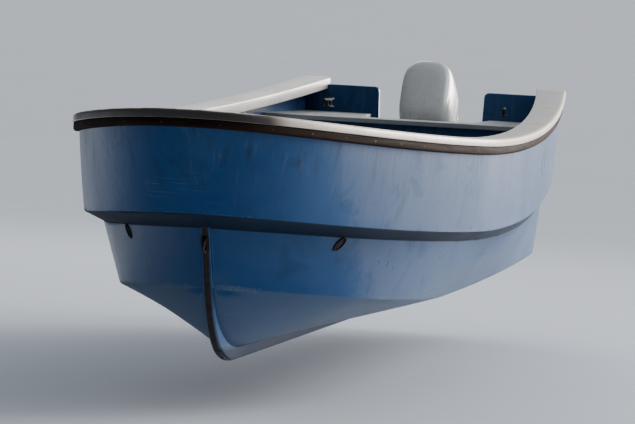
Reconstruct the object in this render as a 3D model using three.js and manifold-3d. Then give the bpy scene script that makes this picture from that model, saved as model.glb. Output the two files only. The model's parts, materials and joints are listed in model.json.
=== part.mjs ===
// An open work skiff of moulded fibreglass, with an outboard motor tilted up on its transom.
// Millimetres. +X points to the bow, +Y to port, +Z up. The origin is amidships, on the waterline.
import * as THREE from "three";
import { mergeVertices } from "three/addons/utils/BufferGeometryUtils.js";
import Module from "manifold-3d";

const wasm = await Module();
wasm.setup();

// Driving dimensions of the hull. "Aft" is a distance behind the bow, "up" a height over the keel.
const LENGTH = 6400;
const AMIDSHIPS = 3200;
const DRAFT = 200;
const SKIN = 14;
const FIT = 0.3;
const STATIONS = 26;
const BOW_CROWDING = 1.6;
const OVER_GUNWALE = 120;
const PAST_STERN = 60;

// The four long lines of each side: where each starts behind the bow, its widest half breadth, the
// length of its rounded entry and its half breadth at the transom. The upper two have a blunt entry,
// a curve that leaves the bow square to the keel, and the lower two an entry given by two powers.
const BLUNT = { entry: 2459, nose: 518, fullness: 1614 };
const LINES = {
  gunwale: { start: 0, half: 937, ...BLUNT, stern: 690 },
  knuckle: { start: 157, half: 919, ...BLUNT, stern: 677 },
  step: { start: 423, half: 872, entry: 2751, swell: 2.418, round: 1.154, stern: 625 },
  chine: { start: 552, half: 712, entry: 2164, swell: 2.433, round: 1.225, stern: 585 },
};
// How far each line moves inwards and upwards for each millimetre of thickness inside it.
const INSET = {
  gunwale: { inwards: 1, upwards: 0 },
  knuckle: { inwards: 1, upwards: 0.6 },
  step: { inwards: 0.9, upwards: 0.8 },
  chine: { inwards: 0.7, upwards: 0.85 },
  rabbet: { inwards: 0, upwards: 1.1 },
};
const SHEER = { low: 948, bowRise: 144, sternRise: 143 };
const BAND = { height: 394, bowExtra: 20 };
const STEP_DROP = 44;
const CHINE_UP = { low: 241, bowRise: 110, power: 1.7 };

// The stem and keel: the rabbet is where they meet the skin, the outer line is their front and bottom.
const RABBET = { top: [423, 613], bend: [552, 351], corner: [738, 55], foot: [1180, 55] };
const KEEL = { top: [412, 610], bend: [540, 346], corner: [710, 0], foot: [1131, 0] };
const KEEL_HALF = { stem: 22, aft: 45, fullAt: 1500, taper: 0.8 };

// Rails along the gunwale.
const CAP = { outboard: 30, thick: 38, bowWidth: 80, sternWidth: 128, lip: 16, lipDrop: 22 };
const STRAKE = { outboard: 25, tall: 38 };

// Inside.
const SOLE = { top: 235, thick: 18 };
const PANEL = 18;
const FOREDECK = { top: 800, thick: 20, end: 1170, overhang: 20 };
const HATCH = { from: 560, to: 960, half: 200, lid: 18, lap: 14 };
const THWARTS = [
  { name: "thwart_fore", post: "thwart_post_fore", from: 2250, to: 2550 },
  { name: "thwart_mid", post: "thwart_post_mid", from: 3900, to: 4200 },
];
const THWART = { top: 620, thick: 36, postHalf: 35 };
const RISER = { tall: 60, deep: 46 };
const FRAME = { wide: 44, deep: 26, places: [1700, 2900, 3550, 4550, 5150] };
const AFT_DECK = { from: 5550, top: 945, thick: 25, overhang: 22 };
const TRANSOM = { thick: 55, sill: 650, cutTop: 290, cutSill: 272 };
const WELL = { from: 5760, half: 320, floor: 420, wall: 14 };

// Fittings.
const STEM_BAND = { half: 13, thick: 5, rings: 14 };
const BOW_EYE = { up: 545, bar: 7, reach: 46, span: 26, base: [36, 20, 6] };
// A scupper's place is a station, a share of the way to the next one and a share of the way from the
// step down to the chine; "slant" is how far it dips forwards, in degrees.
const SCUPPER = {
  station: 6,
  along: 0.35,
  share: 0.12,
  slant: 38,
  long: 92,
  tall: 42,
  rim: 7,
  thick: 16,
  stands: 8,
  floor: 3,
};
const CLEAT = { half: 95, base: [48, 19, 6], post: [26, 9], horn: [36, 42, 10, 6] };
const CLEATS = [
  { name: "bow_cleat", aft: 330, y: 0, up: FOREDECK.top, turn: 0 },
  { name: "quarter_cleat_port", aft: 5850, y: 470, up: AFT_DECK.top, turn: 0.1 },
  { name: "quarter_cleat_starboard", aft: 5850, y: -470, up: AFT_DECK.top, turn: -0.1 },
];
const HINGE = { half: 110, leaf: [6, 50, 4], knuckle: 8.5, behind: 14, up: 12 };
const PAD = { half: 150, thick: 12, cap: 6, low: 470 };

// The outboard motor, drawn upright from its tilt axis: X forward of the axis, Z over it.
const TILT_AXIS = { aft: 6350, up: 695 };
const TILTED = 58;
const SWIVEL_AFT = 130;
const CLAMP = { inner: 76, thick: 16, pin: 14, bore: 14.9, bridge: 10, jaw: 14, foot: -290, tieUp: -272 };
const SCREWS = { across: [-45, 45], up: -95, long: 62, radius: 9, handle: [30, 6] };
const SWIVEL = { low: -230, high: 44, radius: 32, bore: 19.7, shaft: 19, web: 11, arm: 30, hub: 26 };
const YOKE = { up: [6, 30], down: [30, 6], reach: [28, 80], half: 33 };
// Rows are up, front, back, half breadth, squareness.
const LEG = [
  [-700, -185, -330, 30, 2],
  [-420, -180, -335, 36, 2],
  [-150, -176, -345, 44, 2.2],
  [90, -176, -360, 62, 2.4],
];
const LOWER_COWL = [
  [90.3, -20, -350, 110, 3],
  [108, 0, -395, 136, 3.2],
  [150, 6, -415, 145, 3.2],
];
const COWL = [
  [150.3, 8, -418, 147, 3.2],
  [250, 4, -424, 145, 3.2],
  [350, -10, -420, 138, 3.2],
  [408, -34, -400, 124, 3],
  [428, -70, -368, 100, 2.8],
];
const GEARCASE = {
  axis: -885,
  plate: -715,
  plateSize: [-165, -425, 84, 6],
  skeg: [[-215, -905], [-335, -905], [-350, -1072], [-300, -1078]],
  skegHalf: 5,
  profile: [[102, 0], [108, 14], [130, 30], [170, 42], [230, 47], [300, 46], [348, 44], [348, 0]],
  strut: [
    [-700.3, -185, -330, 30, 2],
    [-760, -185, -325, 24, 2],
    [-885, -175, -320, 24, 2],
  ],
};
const PROPELLER = {
  pitch: 300,
  front: -348.3,
  back: -440,
  middle: -395,
  hub: [46, 38],
  blade: [[30, 66, 9], [60, 92, 7], [95, 104, 6], [122, 84, 4], [134, 44, 3]],
};
const TILLER = { root: [6.3, 122], rise: 25, start: 12, arm: 290, long: 400, block: [26, 32, 24], grip: 19 };

const paint = (color, roughness, metalness = 0) =>
  new THREE.MeshStandardMaterial({ color, roughness, metalness });
const COLOURS = {
  blue: [0x2f6291, 0.28],
  pale: [0xc4c6c8, 0.4],
  cream: [0xd9d3c8, 0.45],
  brown: [0x3d302b, 0.7],
  deck: [0xb9bcbd, 0.6],
  steel: [0x9c9d9e, 0.35, 0.9],
  grey: [0x4d5359, 0.4],
  black: [0x1a1b1d, 0.5],
  white: [0xd6d8d9, 0.35],
};

const skiff = new THREE.Group();

function addMesh(name, geometry, colour, parent = skiff) {
  const mesh = new THREE.Mesh(geometry, paint(...COLOURS[colour]));
  mesh.name = name;
  parent.add(mesh);
  return mesh;
}

// Solids and booleans.
function solidOf(geometry) {
  const bare = geometry.clone();
  bare.deleteAttribute("normal");
  bare.deleteAttribute("uv");
  const merged = mergeVertices(bare, 1e-3);
  const vertProperties = new Float32Array(merged.attributes.position.array);
  const triVerts = new Uint32Array(merged.index.array);
  return new wasm.Manifold(new wasm.Mesh({ numProp: 3, vertProperties, triVerts }));
}

function geometryOf(solid) {
  const mesh = solid.getMesh();
  const geometry = new THREE.BufferGeometry();
  geometry.setAttribute("position", new THREE.BufferAttribute(mesh.vertProperties, 3));
  geometry.setIndex(new THREE.BufferAttribute(mesh.triVerts, 1));
  const faceted = geometry.toNonIndexed();
  faceted.computeVertexNormals();
  return faceted;
}

const joined = (...geometries) => geometries.map(solidOf).reduce((all, solid) => all.add(solid));

// A closed body from loose triangles of points; triangles that close to a line are dropped.
function bodyOf(triangles) {
  const touch = (p, q) => p.distanceTo(q) < 2e-3;
  const keep = triangles.filter(([a, b, c]) => !touch(a, b) && !touch(b, c) && !touch(c, a));
  const solid = solidOf(new THREE.BufferGeometry().setFromPoints(keep.flat()));
  if (solid.volume() > 0) return solid;
  const turned = keep.map(([a, b, c]) => [a, c, b]);
  return solidOf(new THREE.BufferGeometry().setFromPoints(turned.flat()));
}

// A skin over rings of points that follow one flat section, closed by that section at both ends.
function sweep(rings, section) {
  const flat = section.map(([u, v]) => new THREE.Vector2(u, v));
  const count = flat.length;
  const triangles = [];
  for (let i = 0; i + 1 < rings.length; i++) {
    for (let j = 0; j < count; j++) {
      const k = (j + 1) % count;
      const [a, b, c, d] = [rings[i][j], rings[i][k], rings[i + 1][k], rings[i + 1][j]];
      triangles.push([a, b, c], [a, c, d]);
    }
  }
  const turn = THREE.ShapeUtils.area(flat) > 0;
  for (const [a, b, c] of THREE.ShapeUtils.triangulateShape(flat, [])) {
    const along = THREE.ShapeUtils.area([flat[a], flat[b], flat[c]]) > 0 === turn;
    const [first, second] = along ? [b, c] : [c, b];
    const last = rings[rings.length - 1];
    triangles.push([rings[0][a], rings[0][second], rings[0][first]]);
    triangles.push([last[a], last[first], last[second]]);
  }
  return bodyOf(triangles);
}

const vec = (x, y, z) => new THREE.Vector3(x, y, z);
const box = (x0, x1, y0, y1, z0, z1) =>
  new THREE.BoxGeometry(x1 - x0, y1 - y0, z1 - z0).translate((x0 + x1) / 2, (y0 + y1) / 2, (z0 + z1) / 2);

// A plate with an outline in X and Z, between two places across the boat.
function plate(outline, y0, y1) {
  const shape = new THREE.Shape(outline.map(([x, z]) => new THREE.Vector2(x, z)));
  const geometry = new THREE.ExtrudeGeometry(shape, { depth: y1 - y0, bevelEnabled: false });
  return geometry.rotateX(Math.PI / 2).translate(0, y1, 0);
}

// A round bar from one point to another, and a bar bent along a curve.
function bar(from, to, radius, sides = 16, endRadius = radius) {
  const along = to.clone().sub(from);
  const geometry = new THREE.CylinderGeometry(endRadius, radius, along.length(), sides);
  geometry.translate(0, along.length() / 2, 0);
  geometry.applyQuaternion(new THREE.Quaternion().setFromUnitVectors(vec(0, 1, 0), along.normalize()));
  return geometry.translate(from.x, from.y, from.z);
}

function bentBar(points, radius, steps = 16, sides = 8) {
  const section = new THREE.Shape().absarc(0, 0, radius, 0, 2 * Math.PI);
  const extrudePath = new THREE.CatmullRomCurve3(points);
  return new THREE.ExtrudeGeometry(section, { steps, curveSegments: sides, extrudePath });
}

const forward = (aft) => AMIDSHIPS - aft;
const above = (up) => up - DRAFT;

// A block of the boat between two distances aft, two sides and two heights over the keel.
const block = (aft0, aft1, y0, y1, up0, up1) =>
  solidOf(box(forward(aft1), forward(aft0), y0, y1, above(up0), above(up1)));
const middleBlock = (aft0, aft1, half, up0, up1) => block(aft0, aft1, -half, half, up0, up1);

// Hull lines.
const clamp = THREE.MathUtils.clamp;
const bowShare = (aft) => Math.max(1 - aft / AMIDSHIPS, 0) ** 2;
const sternShare = (aft) => clamp((aft - AMIDSHIPS) / (LENGTH - AMIDSHIPS), 0, 1) ** 2;

// The blunt entry is a Bezier curve from the bow's middle to the widest place.
function bluntHalf(run, { half, entry, nose, fullness }) {
  const curve = new THREE.CubicBezierCurve(
    new THREE.Vector2(0, 0), new THREE.Vector2(0, nose * (half / LINES.gunwale.half)),
    new THREE.Vector2(fullness, half), new THREE.Vector2(entry, half));
  let [low, high] = [0, 1];
  for (let i = 0; i < 40; i++) {
    const middle = (low + high) / 2;
    if (curve.getPoint(middle).x < run) low = middle;
    else high = middle;
  }
  return curve.getPoint(low).y;
}

function halfBreadth(run, line) {
  if (run >= line.entry) {
    const share = (run - line.entry) / (LENGTH - line.entry);
    return line.half - (line.half - line.stern) * share ** 2;
  }
  if (line.nose) return bluntHalf(run, line);
  return line.half * (1 - (1 - run / line.entry) ** line.swell) ** (1 / line.round);
}

const sheerUp = (run) => SHEER.low + SHEER.bowRise * bowShare(run) + SHEER.sternRise * sternShare(run);
const knuckleUp = (run) => sheerUp(run) - BAND.height - BAND.bowExtra * bowShare(run);
const aftOf = (run, line) => line.start + (run * (LENGTH - line.start)) / LENGTH;
const runAt = (aft, line) => ((aft - line.start) * LENGTH) / (LENGTH - line.start);

const LINE_UP = {
  gunwale: sheerUp,
  knuckle: knuckleUp,
  step: (run) => knuckleUp(runAt(aftOf(run, LINES.step), LINES.knuckle)) - STEP_DROP,
  chine: (run) =>
    CHINE_UP.low + CHINE_UP.bowRise * Math.max(1 - run / LINES.chine.entry, 0) ** CHINE_UP.power,
};

const keelHalf = (aft) =>
  THREE.MathUtils.lerp(KEEL_HALF.stem, KEEL_HALF.aft,
    clamp((aft - RABBET.bend[0]) / (KEEL_HALF.fullAt - RABBET.bend[0]), 0, 1));

// The share of the rabbet's curve that lies before a distance aft, and the curve's height there.
function rabbetShare(aft) {
  const [a0, a1, a2] = [RABBET.bend[0], RABBET.corner[0], RABBET.foot[0]];
  const square = a0 - 2 * a1 + a2;
  const slope = 2 * (a1 - a0);
  return Math.min((Math.sqrt(slope ** 2 + 4 * square * (aft - a0)) - slope) / (2 * square), 1);
}

function rabbetUp(aft) {
  const t = rabbetShare(aft);
  return RABBET.bend[1] * (1 - t) ** 2 + 2 * RABBET.corner[1] * t * (1 - t) + RABBET.foot[1] * t ** 2;
}

// A point of a line and its outward direction in plan, on the port side.
function lineAt(name, run) {
  const line = LINES[name];
  const [near, far] = [Math.max(run - 0.5, 0), Math.min(run + 0.5, LENGTH)];
  const along = run ? aftOf(far, line) - aftOf(near, line) : 0;
  const out = halfBreadth(far, line) - halfBreadth(near, line);
  const size = Math.hypot(along, out);
  const aft = aftOf(run, line);
  return {
    x: forward(aft),
    y: halfBreadth(run, line),
    z: above(LINE_UP[name](run)),
    nx: out / size,
    ny: along / size,
    aft,
  };
}

const runOf = (i) => LENGTH * (i / STATIONS) ** BOW_CROWDING;
const runs = Array.from({ length: STATIONS + 1 }, (_, i) => runOf(i));
const mirrored = (points) => points.map((p) => vec(p.x, -p.y, p.z)).reverse();

// The hull's ring at a run, moved in by a thickness, and carried on over the gunwale where it is open.
function hullRing(run, inset, open) {
  const side = [];
  for (const name of ["gunwale", "knuckle", "step", "chine"]) {
    const p = lineAt(name, run);
    const { inwards, upwards } = INSET[name];
    const x = p.x - inset * inwards * p.nx;
    const y = p.y - inset * inwards * p.ny;
    const least = name === "gunwale" || name === "knuckle" ? 0 : keelHalf(p.aft);
    side.push(vec(x, Math.max(y, least), p.z + inset * upwards));
  }
  const [top] = side;
  const chineX = side[3].x;
  const aft = aftOf(run, LINES.chine);
  const rabbet = above(rabbetUp(aft)) + inset * INSET.rabbet.upwards;
  side.push(vec(chineX, keelHalf(aft), Math.min(rabbet, side[3].z)));
  if (open) side.unshift(vec(top.x, top.y, top.z + OVER_GUNWALE));
  return [...side, ...mirrored(side)];
}

// The hull between its rings. Each ring runs down the port side and up the starboard side.
function hullBody(inset, { open = false, past = 0 } = {}) {
  const rings = runs.map((run) => hullRing(run, inset, open));
  if (past) rings.push(rings[rings.length - 1].map((p) => vec(p.x - past, p.y, p.z)));
  const triangles = [];
  const count = rings[0].length;
  for (let i = 0; i + 1 < rings.length; i++) {
    for (let j = 0; j < count; j++) {
      const k = (j + 1) % count;
      const [a, b, c, d] = [rings[i][j], rings[i][k], rings[i + 1][k], rings[i + 1][j]];
      const port = j < count / 2;
      triangles.push(...(port ? [[a, b, c], [a, c, d]] : [[b, c, d], [b, d, a]]));
    }
  }
  const [bow, stern] = [rings[0], rings[rings.length - 1]];
  for (let j = 0; j + 1 < count / 2; j++) {
    const [k, l, m] = [j + 1, count - 2 - j, count - 1 - j];
    triangles.push([bow[j], bow[m], bow[l]], [bow[j], bow[l], bow[k]]);
    triangles.push([stern[j], stern[l], stern[m]], [stern[j], stern[k], stern[l]]);
  }
  return bodyOf(triangles);
}

const outer = hullBody(0);
const cavity = hullBody(SKIN, { open: true, past: PAST_STERN });
const inside = hullBody(SKIN + FIT, { past: PAST_STERN });
addMesh("hull_shell", geometryOf(outer.subtract(cavity)), "blue");

// Panels that fill the hull from side to side.
const WIDE = 1000;
const HIGH = 1200;
const acrossHull = (aft0, aft1, up0, up1) => inside.intersect(middleBlock(aft0, aft1, WIDE, up0, up1));

const transomFront = LENGTH - TRANSOM.thick;
const cutOut = sweep(
  [LENGTH + 10, transomFront - 10].map((aft) => [
    vec(forward(aft), -TRANSOM.cutSill, above(TRANSOM.sill)),
    vec(forward(aft), TRANSOM.cutSill, above(TRANSOM.sill)),
    vec(forward(aft), TRANSOM.cutTop, above(HIGH)),
    vec(forward(aft), -TRANSOM.cutTop, above(HIGH)),
  ]),
  [[-1, 0], [1, 0], [1, 1], [-1, 1]],
);
addMesh("transom", geometryOf(acrossHull(transomFront, LENGTH, 0, HIGH).subtract(cutOut)), "blue");

const foredeckFloor = FOREDECK.top - FOREDECK.thick;
const hatchHole = middleBlock(HATCH.from, HATCH.to, HATCH.half, foredeckFloor - 5, FOREDECK.top + 5);
const foredeck = acrossHull(0, FOREDECK.end, foredeckFloor, FOREDECK.top).subtract(hatchHole);
addMesh("foredeck", geometryOf(foredeck), "deck");
const bulkheadAft = FOREDECK.end - FOREDECK.overhang;
addMesh("foredeck_bulkhead", geometryOf(
  acrossHull(bulkheadAft - PANEL, bulkheadAft, 0, foredeckFloor - FIT)), "blue");

const deckFloor = AFT_DECK.top - AFT_DECK.thick;
const bulkheadFore = AFT_DECK.from + AFT_DECK.overhang;
const wellSpace = middleBlock(WELL.from, LENGTH, WELL.half, WELL.floor, HIGH);
const aftDeck = acrossHull(AFT_DECK.from, transomFront - FIT, deckFloor, AFT_DECK.top);
addMesh("aft_deck", geometryOf(aftDeck.subtract(wellSpace)), "deck");
addMesh("aft_bulkhead", geometryOf(
  acrossHull(bulkheadFore, bulkheadFore + PANEL, 0, deckFloor - FIT)), "blue");
const wellOuter = middleBlock(WELL.from - WELL.wall, transomFront - FIT, WELL.half + WELL.wall,
  WELL.floor - WELL.wall, deckFloor - FIT);
addMesh("splash_well", geometryOf(wellOuter.subtract(wellSpace)), "pale");

addMesh("sole", geometryOf(
  acrossHull(bulkheadAft + FIT, bulkheadFore - FIT, SOLE.top - SOLE.thick, SOLE.top)), "deck");

// Thwarts lie on risers, which run along both sides and join the side frames.
const thwartFloor = THWART.top - THWART.thick;
for (const { name, post, from, to } of THWARTS) {
  addMesh(name, geometryOf(acrossHull(from, to, thwartFloor, THWART.top)), "pale");
  const middle = (from + to) / 2;
  addMesh(post, geometryOf(middleBlock(middle - THWART.postHalf, middle + THWART.postHalf,
    THWART.postHalf, SOLE.top + FIT, thwartFloor - FIT)), "pale");
}
const liningOf = (deep) => inside.subtract(hullBody(SKIN + FIT + deep, { open: true, past: PAST_STERN }));
const riser = liningOf(RISER.deep).intersect(
  middleBlock(FOREDECK.end + 5, AFT_DECK.from - 5, WIDE, thwartFloor - RISER.tall, thwartFloor - FIT));
const frameSlabs = FRAME.places
  .map((aft) => middleBlock(aft - FRAME.wide / 2, aft + FRAME.wide / 2, WIDE, SOLE.top + FIT, HIGH))
  .reduce((all, slab) => all.add(slab));
const ribs = riser.add(liningOf(FRAME.deep).intersect(frameSlabs));
for (const [side, low, high] of [["port", 0, WIDE], ["starboard", -WIDE, 0]]) {
  const half = ribs.intersect(block(0, LENGTH, low, high, 0, HIGH));
  addMesh("side_frames_" + side, geometryOf(half), "pale");
}

// Rails of the port side, each a section set out along the gunwale from the bow's middle aft, with
// its starboard twin as the mirror image. They meet at the bow with a small gap.
function addBothSides(name, geometry, colour) {
  addMesh(name + "_port", geometry, colour);
  addMesh(name + "_starboard", geometry, colour).scale.y = -1;
}

const railPoint = (p, out, rise) =>
  vec(p.x + out * p.nx, Math.max(p.y + out * p.ny, FIT / 2), p.z + rise);

const capSection = (width) => [
  [CAP.outboard, FIT],
  [CAP.outboard, CAP.thick - 8],
  [CAP.outboard - 7, CAP.thick],
  [-width + 6, CAP.thick],
  [-width, CAP.thick - 7],
  [-width, -CAP.lipDrop],
  [CAP.lip - width, -CAP.lipDrop],
  [CAP.lip - width, FIT],
];
const capRings = runs.map((run) => {
  const width = THREE.MathUtils.lerp(CAP.bowWidth, CAP.sternWidth, run / LENGTH);
  return capSection(width).map(([out, rise]) => railPoint(lineAt("gunwale", run), out, rise));
});
// A rail runs on past the transom and is then cut flush with it.
const railBody = (rings, section) => {
  const past = rings[rings.length - 1].map((p) => vec(p.x - PAST_STERN, p.y, p.z));
  return sweep([...rings, past], section).intersect(middleBlock(-100, LENGTH, WIDE, 0, HIGH));
};
const transomSpace = solidOf(geometryOf(hullBody(SKIN, { past: PAST_STERN })).translate(0, 0, FIT))
  .intersect(middleBlock(transomFront - FIT, LENGTH + 1, WIDE, 0, HIGH));
const cap = railBody(capRings, capSection(CAP.bowWidth)).subtract(transomSpace);
addBothSides("gunwale_cap", geometryOf(cap), "cream");

const strakeSection = [
  [FIT * 2, -FIT],
  [STRAKE.outboard, -FIT],
  [STRAKE.outboard, 6 - STRAKE.tall],
  [STRAKE.outboard - 6, -STRAKE.tall],
  [FIT * 2, -STRAKE.tall],
];
const strakeRings = runs.map((run) => {
  const [top, low] = [lineAt("gunwale", run), lineAt("knuckle", run)];
  return strakeSection.map(([out, rise]) => {
    const share = rise / (low.z - top.z);
    const onBand = { ...top, x: top.x + share * (low.x - top.x), y: top.y + share * (low.y - top.y) };
    return railPoint(onBand, out, rise);
  });
});
addBothSides("rub_strake", geometryOf(railBody(strakeRings, strakeSection)), "brown");

// The stem and keel, in rings that match the hull's stations, and the metal band along its front.
const curvePoint = ([[a0, u0], [a1, u1], [a2, u2]], t) => [
  a0 * (1 - t) ** 2 + 2 * a1 * t * (1 - t) + a2 * t ** 2,
  u0 * (1 - t) ** 2 + 2 * u1 * t * (1 - t) + u2 * t ** 2,
];
const chineAfts = runs.map((run) => aftOf(run, LINES.chine));
const keelOuter = [KEEL.top, ...chineAfts.map((aft) =>
  aft < RABBET.foot[0] ? curvePoint([KEEL.bend, KEEL.corner, KEEL.foot], rabbetShare(aft)) : [aft, 0])];
const keelInner = [RABBET.top, ...chineAfts.map((aft) => [aft, rabbetUp(aft)])];
const keelRings = keelOuter.map(([aft, up], i) => {
  const [innerAft, innerUp] = keelInner[i];
  const half = keelHalf(innerAft);
  const low = half * KEEL_HALF.taper;
  const sternmost = i === keelOuter.length - 1;
  const seat = vec(forward(innerAft) + (sternmost ? 0 : FIT), 0, above(innerUp) - FIT);
  const edge = vec(forward(aft), 0, above(up));
  return [
    vec(seat.x, half, seat.z),
    vec(edge.x, low, edge.z),
    vec(edge.x, -low, edge.z),
    vec(seat.x, -half, seat.z),
  ];
});
addMesh("keel", geometryOf(sweep(keelRings, [[1, 1], [1, 0], [-1, 0], [-1, 1]])), "blue");

const bandRings = keelOuter.slice(0, STEM_BAND.rings).map(([aft, up], i) => {
  const [before, after] = [keelOuter[Math.max(i - 1, 0)], keelOuter[i + 1]];
  const along = vec(before[0] - after[0], 0, after[1] - before[1]).normalize();
  const out = vec(-along.z, 0, along.x);
  const at = (depth, y) => vec(forward(aft) + out.x * depth, y, above(up) + out.z * depth);
  const deep = FIT + STEM_BAND.thick;
  return [
    at(FIT, STEM_BAND.half), at(deep, STEM_BAND.half), at(deep, -STEM_BAND.half), at(FIT, -STEM_BAND.half),
  ];
});
addMesh("stem_band", geometryOf(sweep(bandRings, [[1, 1], [1, 0], [-1, 0], [-1, 1]])), "steel");

// The bow eye stands on the straight front of the stem, square to it.
function eye(radius, reach, span, base) {
  const arch = [[-1, 0], [-1, 0.55], [-0.7, 0.9], [0, 1], [0.7, 0.9], [1, 0.55], [1, 0]];
  const bow = bentBar(arch.map(([x, z]) => vec(x * span, 0, 2 + z * reach)), radius, 14, 8);
  return geometryOf(joined(bow, box(-base[0], base[0], -base[1], base[1], 0, base[2])));
}
const stemSlope = vec(KEEL.top[0] - KEEL.bend[0], 0, KEEL.bend[1] - KEEL.top[1]).normalize();
const stemOut = vec(-stemSlope.z, 0, stemSlope.x);
const stemShare = (KEEL.top[1] - BOW_EYE.up) / (KEEL.top[1] - KEEL.bend[1]);
const bowEye = addMesh("bow_eye", eye(BOW_EYE.bar, BOW_EYE.reach, BOW_EYE.span, BOW_EYE.base), "steel");
bowEye.position
  .set(forward(THREE.MathUtils.lerp(KEEL.top[0], KEEL.bend[0], stemShare)), 0, above(BOW_EYE.up))
  .addScaledVector(stemOut, STEM_BAND.thick + 2 * FIT);
bowEye.rotation.y = Math.atan2(stemOut.x, stemOut.z);

// Scuppers lie on the lower side just under the step, tilted as the side is there.
// Their long way slants down towards the bow.
function sidePoint(run, share) {
  const [high, low] = [lineAt("step", run), lineAt("chine", run)];
  return vec(high.x, high.y, high.z).lerp(vec(low.x, low.y, low.z), share);
}
const [nearRun, farRun] = [runs[SCUPPER.station], runs[SCUPPER.station + 1]];
const facetPoint = (share) => sidePoint(nearRun, share).lerp(sidePoint(farRun, share), SCUPPER.along);
const scupperAt = facetPoint(SCUPPER.share);
const sideAlong = sidePoint(nearRun, SCUPPER.share).sub(sidePoint(farRun, SCUPPER.share)).normalize();
const sideOut = sideAlong.clone().cross(facetPoint(SCUPPER.share + 0.1).sub(scupperAt)).normalize();
const scupperFrame = new THREE.Matrix4().makeBasis(sideAlong, sideOut.clone().cross(sideAlong), sideOut);
const oval = (shrink, low, high) => {
  const radius = SCUPPER.tall / 2 - shrink;
  const disc = new THREE.CylinderGeometry(radius, radius, high - low, 20).rotateX(Math.PI / 2)
    .scale(SCUPPER.long / SCUPPER.tall, 1, 1)
    .rotateZ(THREE.MathUtils.degToRad(SCUPPER.slant))
    .translate(0, 0, (low + high) / 2)
    .applyMatrix4(scupperFrame);
  return solidOf(disc.translate(...scupperAt.toArray()));
};
const scupper = geometryOf(oval(0, SCUPPER.stands - SCUPPER.thick, SCUPPER.stands)
  .subtract(oval(SCUPPER.rim, SCUPPER.floor, SCUPPER.stands + 1))
  .subtract(hullBody(-FIT)));
addBothSides("scupper", scupper, "steel");

// Deck fittings: the hatch with its hinge, and horn cleats.
const lidSpan = [HATCH.from - HATCH.lap, HATCH.to + HATCH.lap];
const hatchAxis = { x: forward(lidSpan[0] - HINGE.behind), z: above(FOREDECK.top + HINGE.up) };
const deckAt = above(FOREDECK.top + FIT);
addMesh("bow_hatch_lid", geometryOf(middleBlock(...lidSpan, HATCH.half + HATCH.lap,
  FOREDECK.top + FIT, FOREDECK.top + HATCH.lid)), "pale");
const [leafAft, leafFore, leafThick] = HINGE.leaf;
addMesh("bow_hatch_hinge", geometryOf(joined(
  box(forward(lidSpan[0] - leafAft), forward(lidSpan[0] - leafFore), -HINGE.half, HINGE.half,
    deckAt, deckAt + leafThick),
  bar(vec(hatchAxis.x, 10 - HINGE.half, hatchAxis.z), vec(hatchAxis.x, HINGE.half - 10, hatchAxis.z),
    HINGE.knuckle, 12),
)), "steel");

function cleat() {
  const [baseX, baseY, baseZ] = CLEAT.base;
  const [postX, postRadius] = CLEAT.post;
  const [middleUp, tipUp, thick, tip] = CLEAT.horn;
  const post = (x) => bar(vec(x, 0, baseZ / 2), vec(x, 0, middleUp), postRadius, 12);
  const horn = (way) => bar(vec(0, 0, middleUp), vec(way * CLEAT.half, 0, tipUp), thick, 12, tip);
  return geometryOf(joined(
    box(-baseX, baseX, -baseY, baseY, 0, baseZ), post(-postX), post(postX), horn(1), horn(-1)));
}
for (const { name, aft, y, up, turn } of CLEATS) {
  const fitting = addMesh(name, cleat(), "black");
  fitting.position.set(forward(aft), y, above(up) + FIT);
  fitting.rotation.z = turn;
}

// The pad that the motor clamps to wraps over the transom's sill.
const padSpan = { fore: transomFront - PAD.thick, aft: LENGTH + PAD.thick };
const pad = middleBlock(padSpan.fore, padSpan.aft, PAD.half, PAD.low, TRANSOM.sill + PAD.cap);
const padSlot = middleBlock(transomFront - FIT, LENGTH + FIT, PAD.half + 1, 0, TRANSOM.sill + FIT);
addMesh("motor_pad", geometryOf(pad.subtract(padSlot)), "black");

// The outboard motor is drawn upright about its tilt axis, X forward of the axis and Z over it.
const motor = new THREE.Group();
motor.position.set(forward(TILT_AXIS.aft), 0, above(TILT_AXIS.up));
skiff.add(motor);
const tilting = new THREE.Group();
tilting.rotation.y = THREE.MathUtils.degToRad(TILTED);
motor.add(tilting);

// The clamp's two cheeks hook over the pad, tied by a bridge, a jaw and a bar, with two clamp screws.
const padTop = TRANSOM.sill + PAD.cap + FIT - TILT_AXIS.up;
const jaw = TILT_AXIS.aft - padSpan.fore + FIT;
const heel = TILT_AXIS.aft - padSpan.aft - FIT;
const cheek = [
  [jaw, padTop], [jaw, -150], [jaw + 26, -150], [jaw + 40, -60], [32, 20], [18, 33], [-18, 33],
  [-34, 20], [heel - 26, -60], [heel - 26, CLAMP.foot], [heel, CLAMP.foot], [heel, padTop],
];
const tied = CLAMP.inner + CLAMP.thick / 4;
const screwEnd = jaw + SCREWS.long;
const [handleHalf, handleRadius] = SCREWS.handle;
const clampParts = joined(
  plate(cheek, CLAMP.inner, CLAMP.inner + CLAMP.thick),
  plate(cheek, -CLAMP.inner - CLAMP.thick, -CLAMP.inner),
  box(heel - 8, jaw + CLAMP.jaw, -tied, tied, padTop, padTop + CLAMP.bridge),
  box(jaw, jaw + CLAMP.jaw, -tied, tied, -140, padTop + CLAMP.bridge),
  bar(vec(heel - 13, -tied, CLAMP.tieUp), vec(heel - 13, tied, CLAMP.tieUp), 8, 10),
  ...SCREWS.across.flatMap((y) => [
    bar(vec(jaw + 4, y, SCREWS.up), vec(screwEnd, y, SCREWS.up), SCREWS.radius, 10),
    bar(vec(screwEnd, y, SCREWS.up - handleHalf), vec(screwEnd, y, SCREWS.up + handleHalf), handleRadius, 8),
  ]),
);
const pinHole = bar(vec(0, -WIDE, 0), vec(0, WIDE, 0), CLAMP.bore, 24);
addMesh("clamp_bracket", geometryOf(clampParts.subtract(solidOf(pinHole))), "grey", motor);

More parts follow.
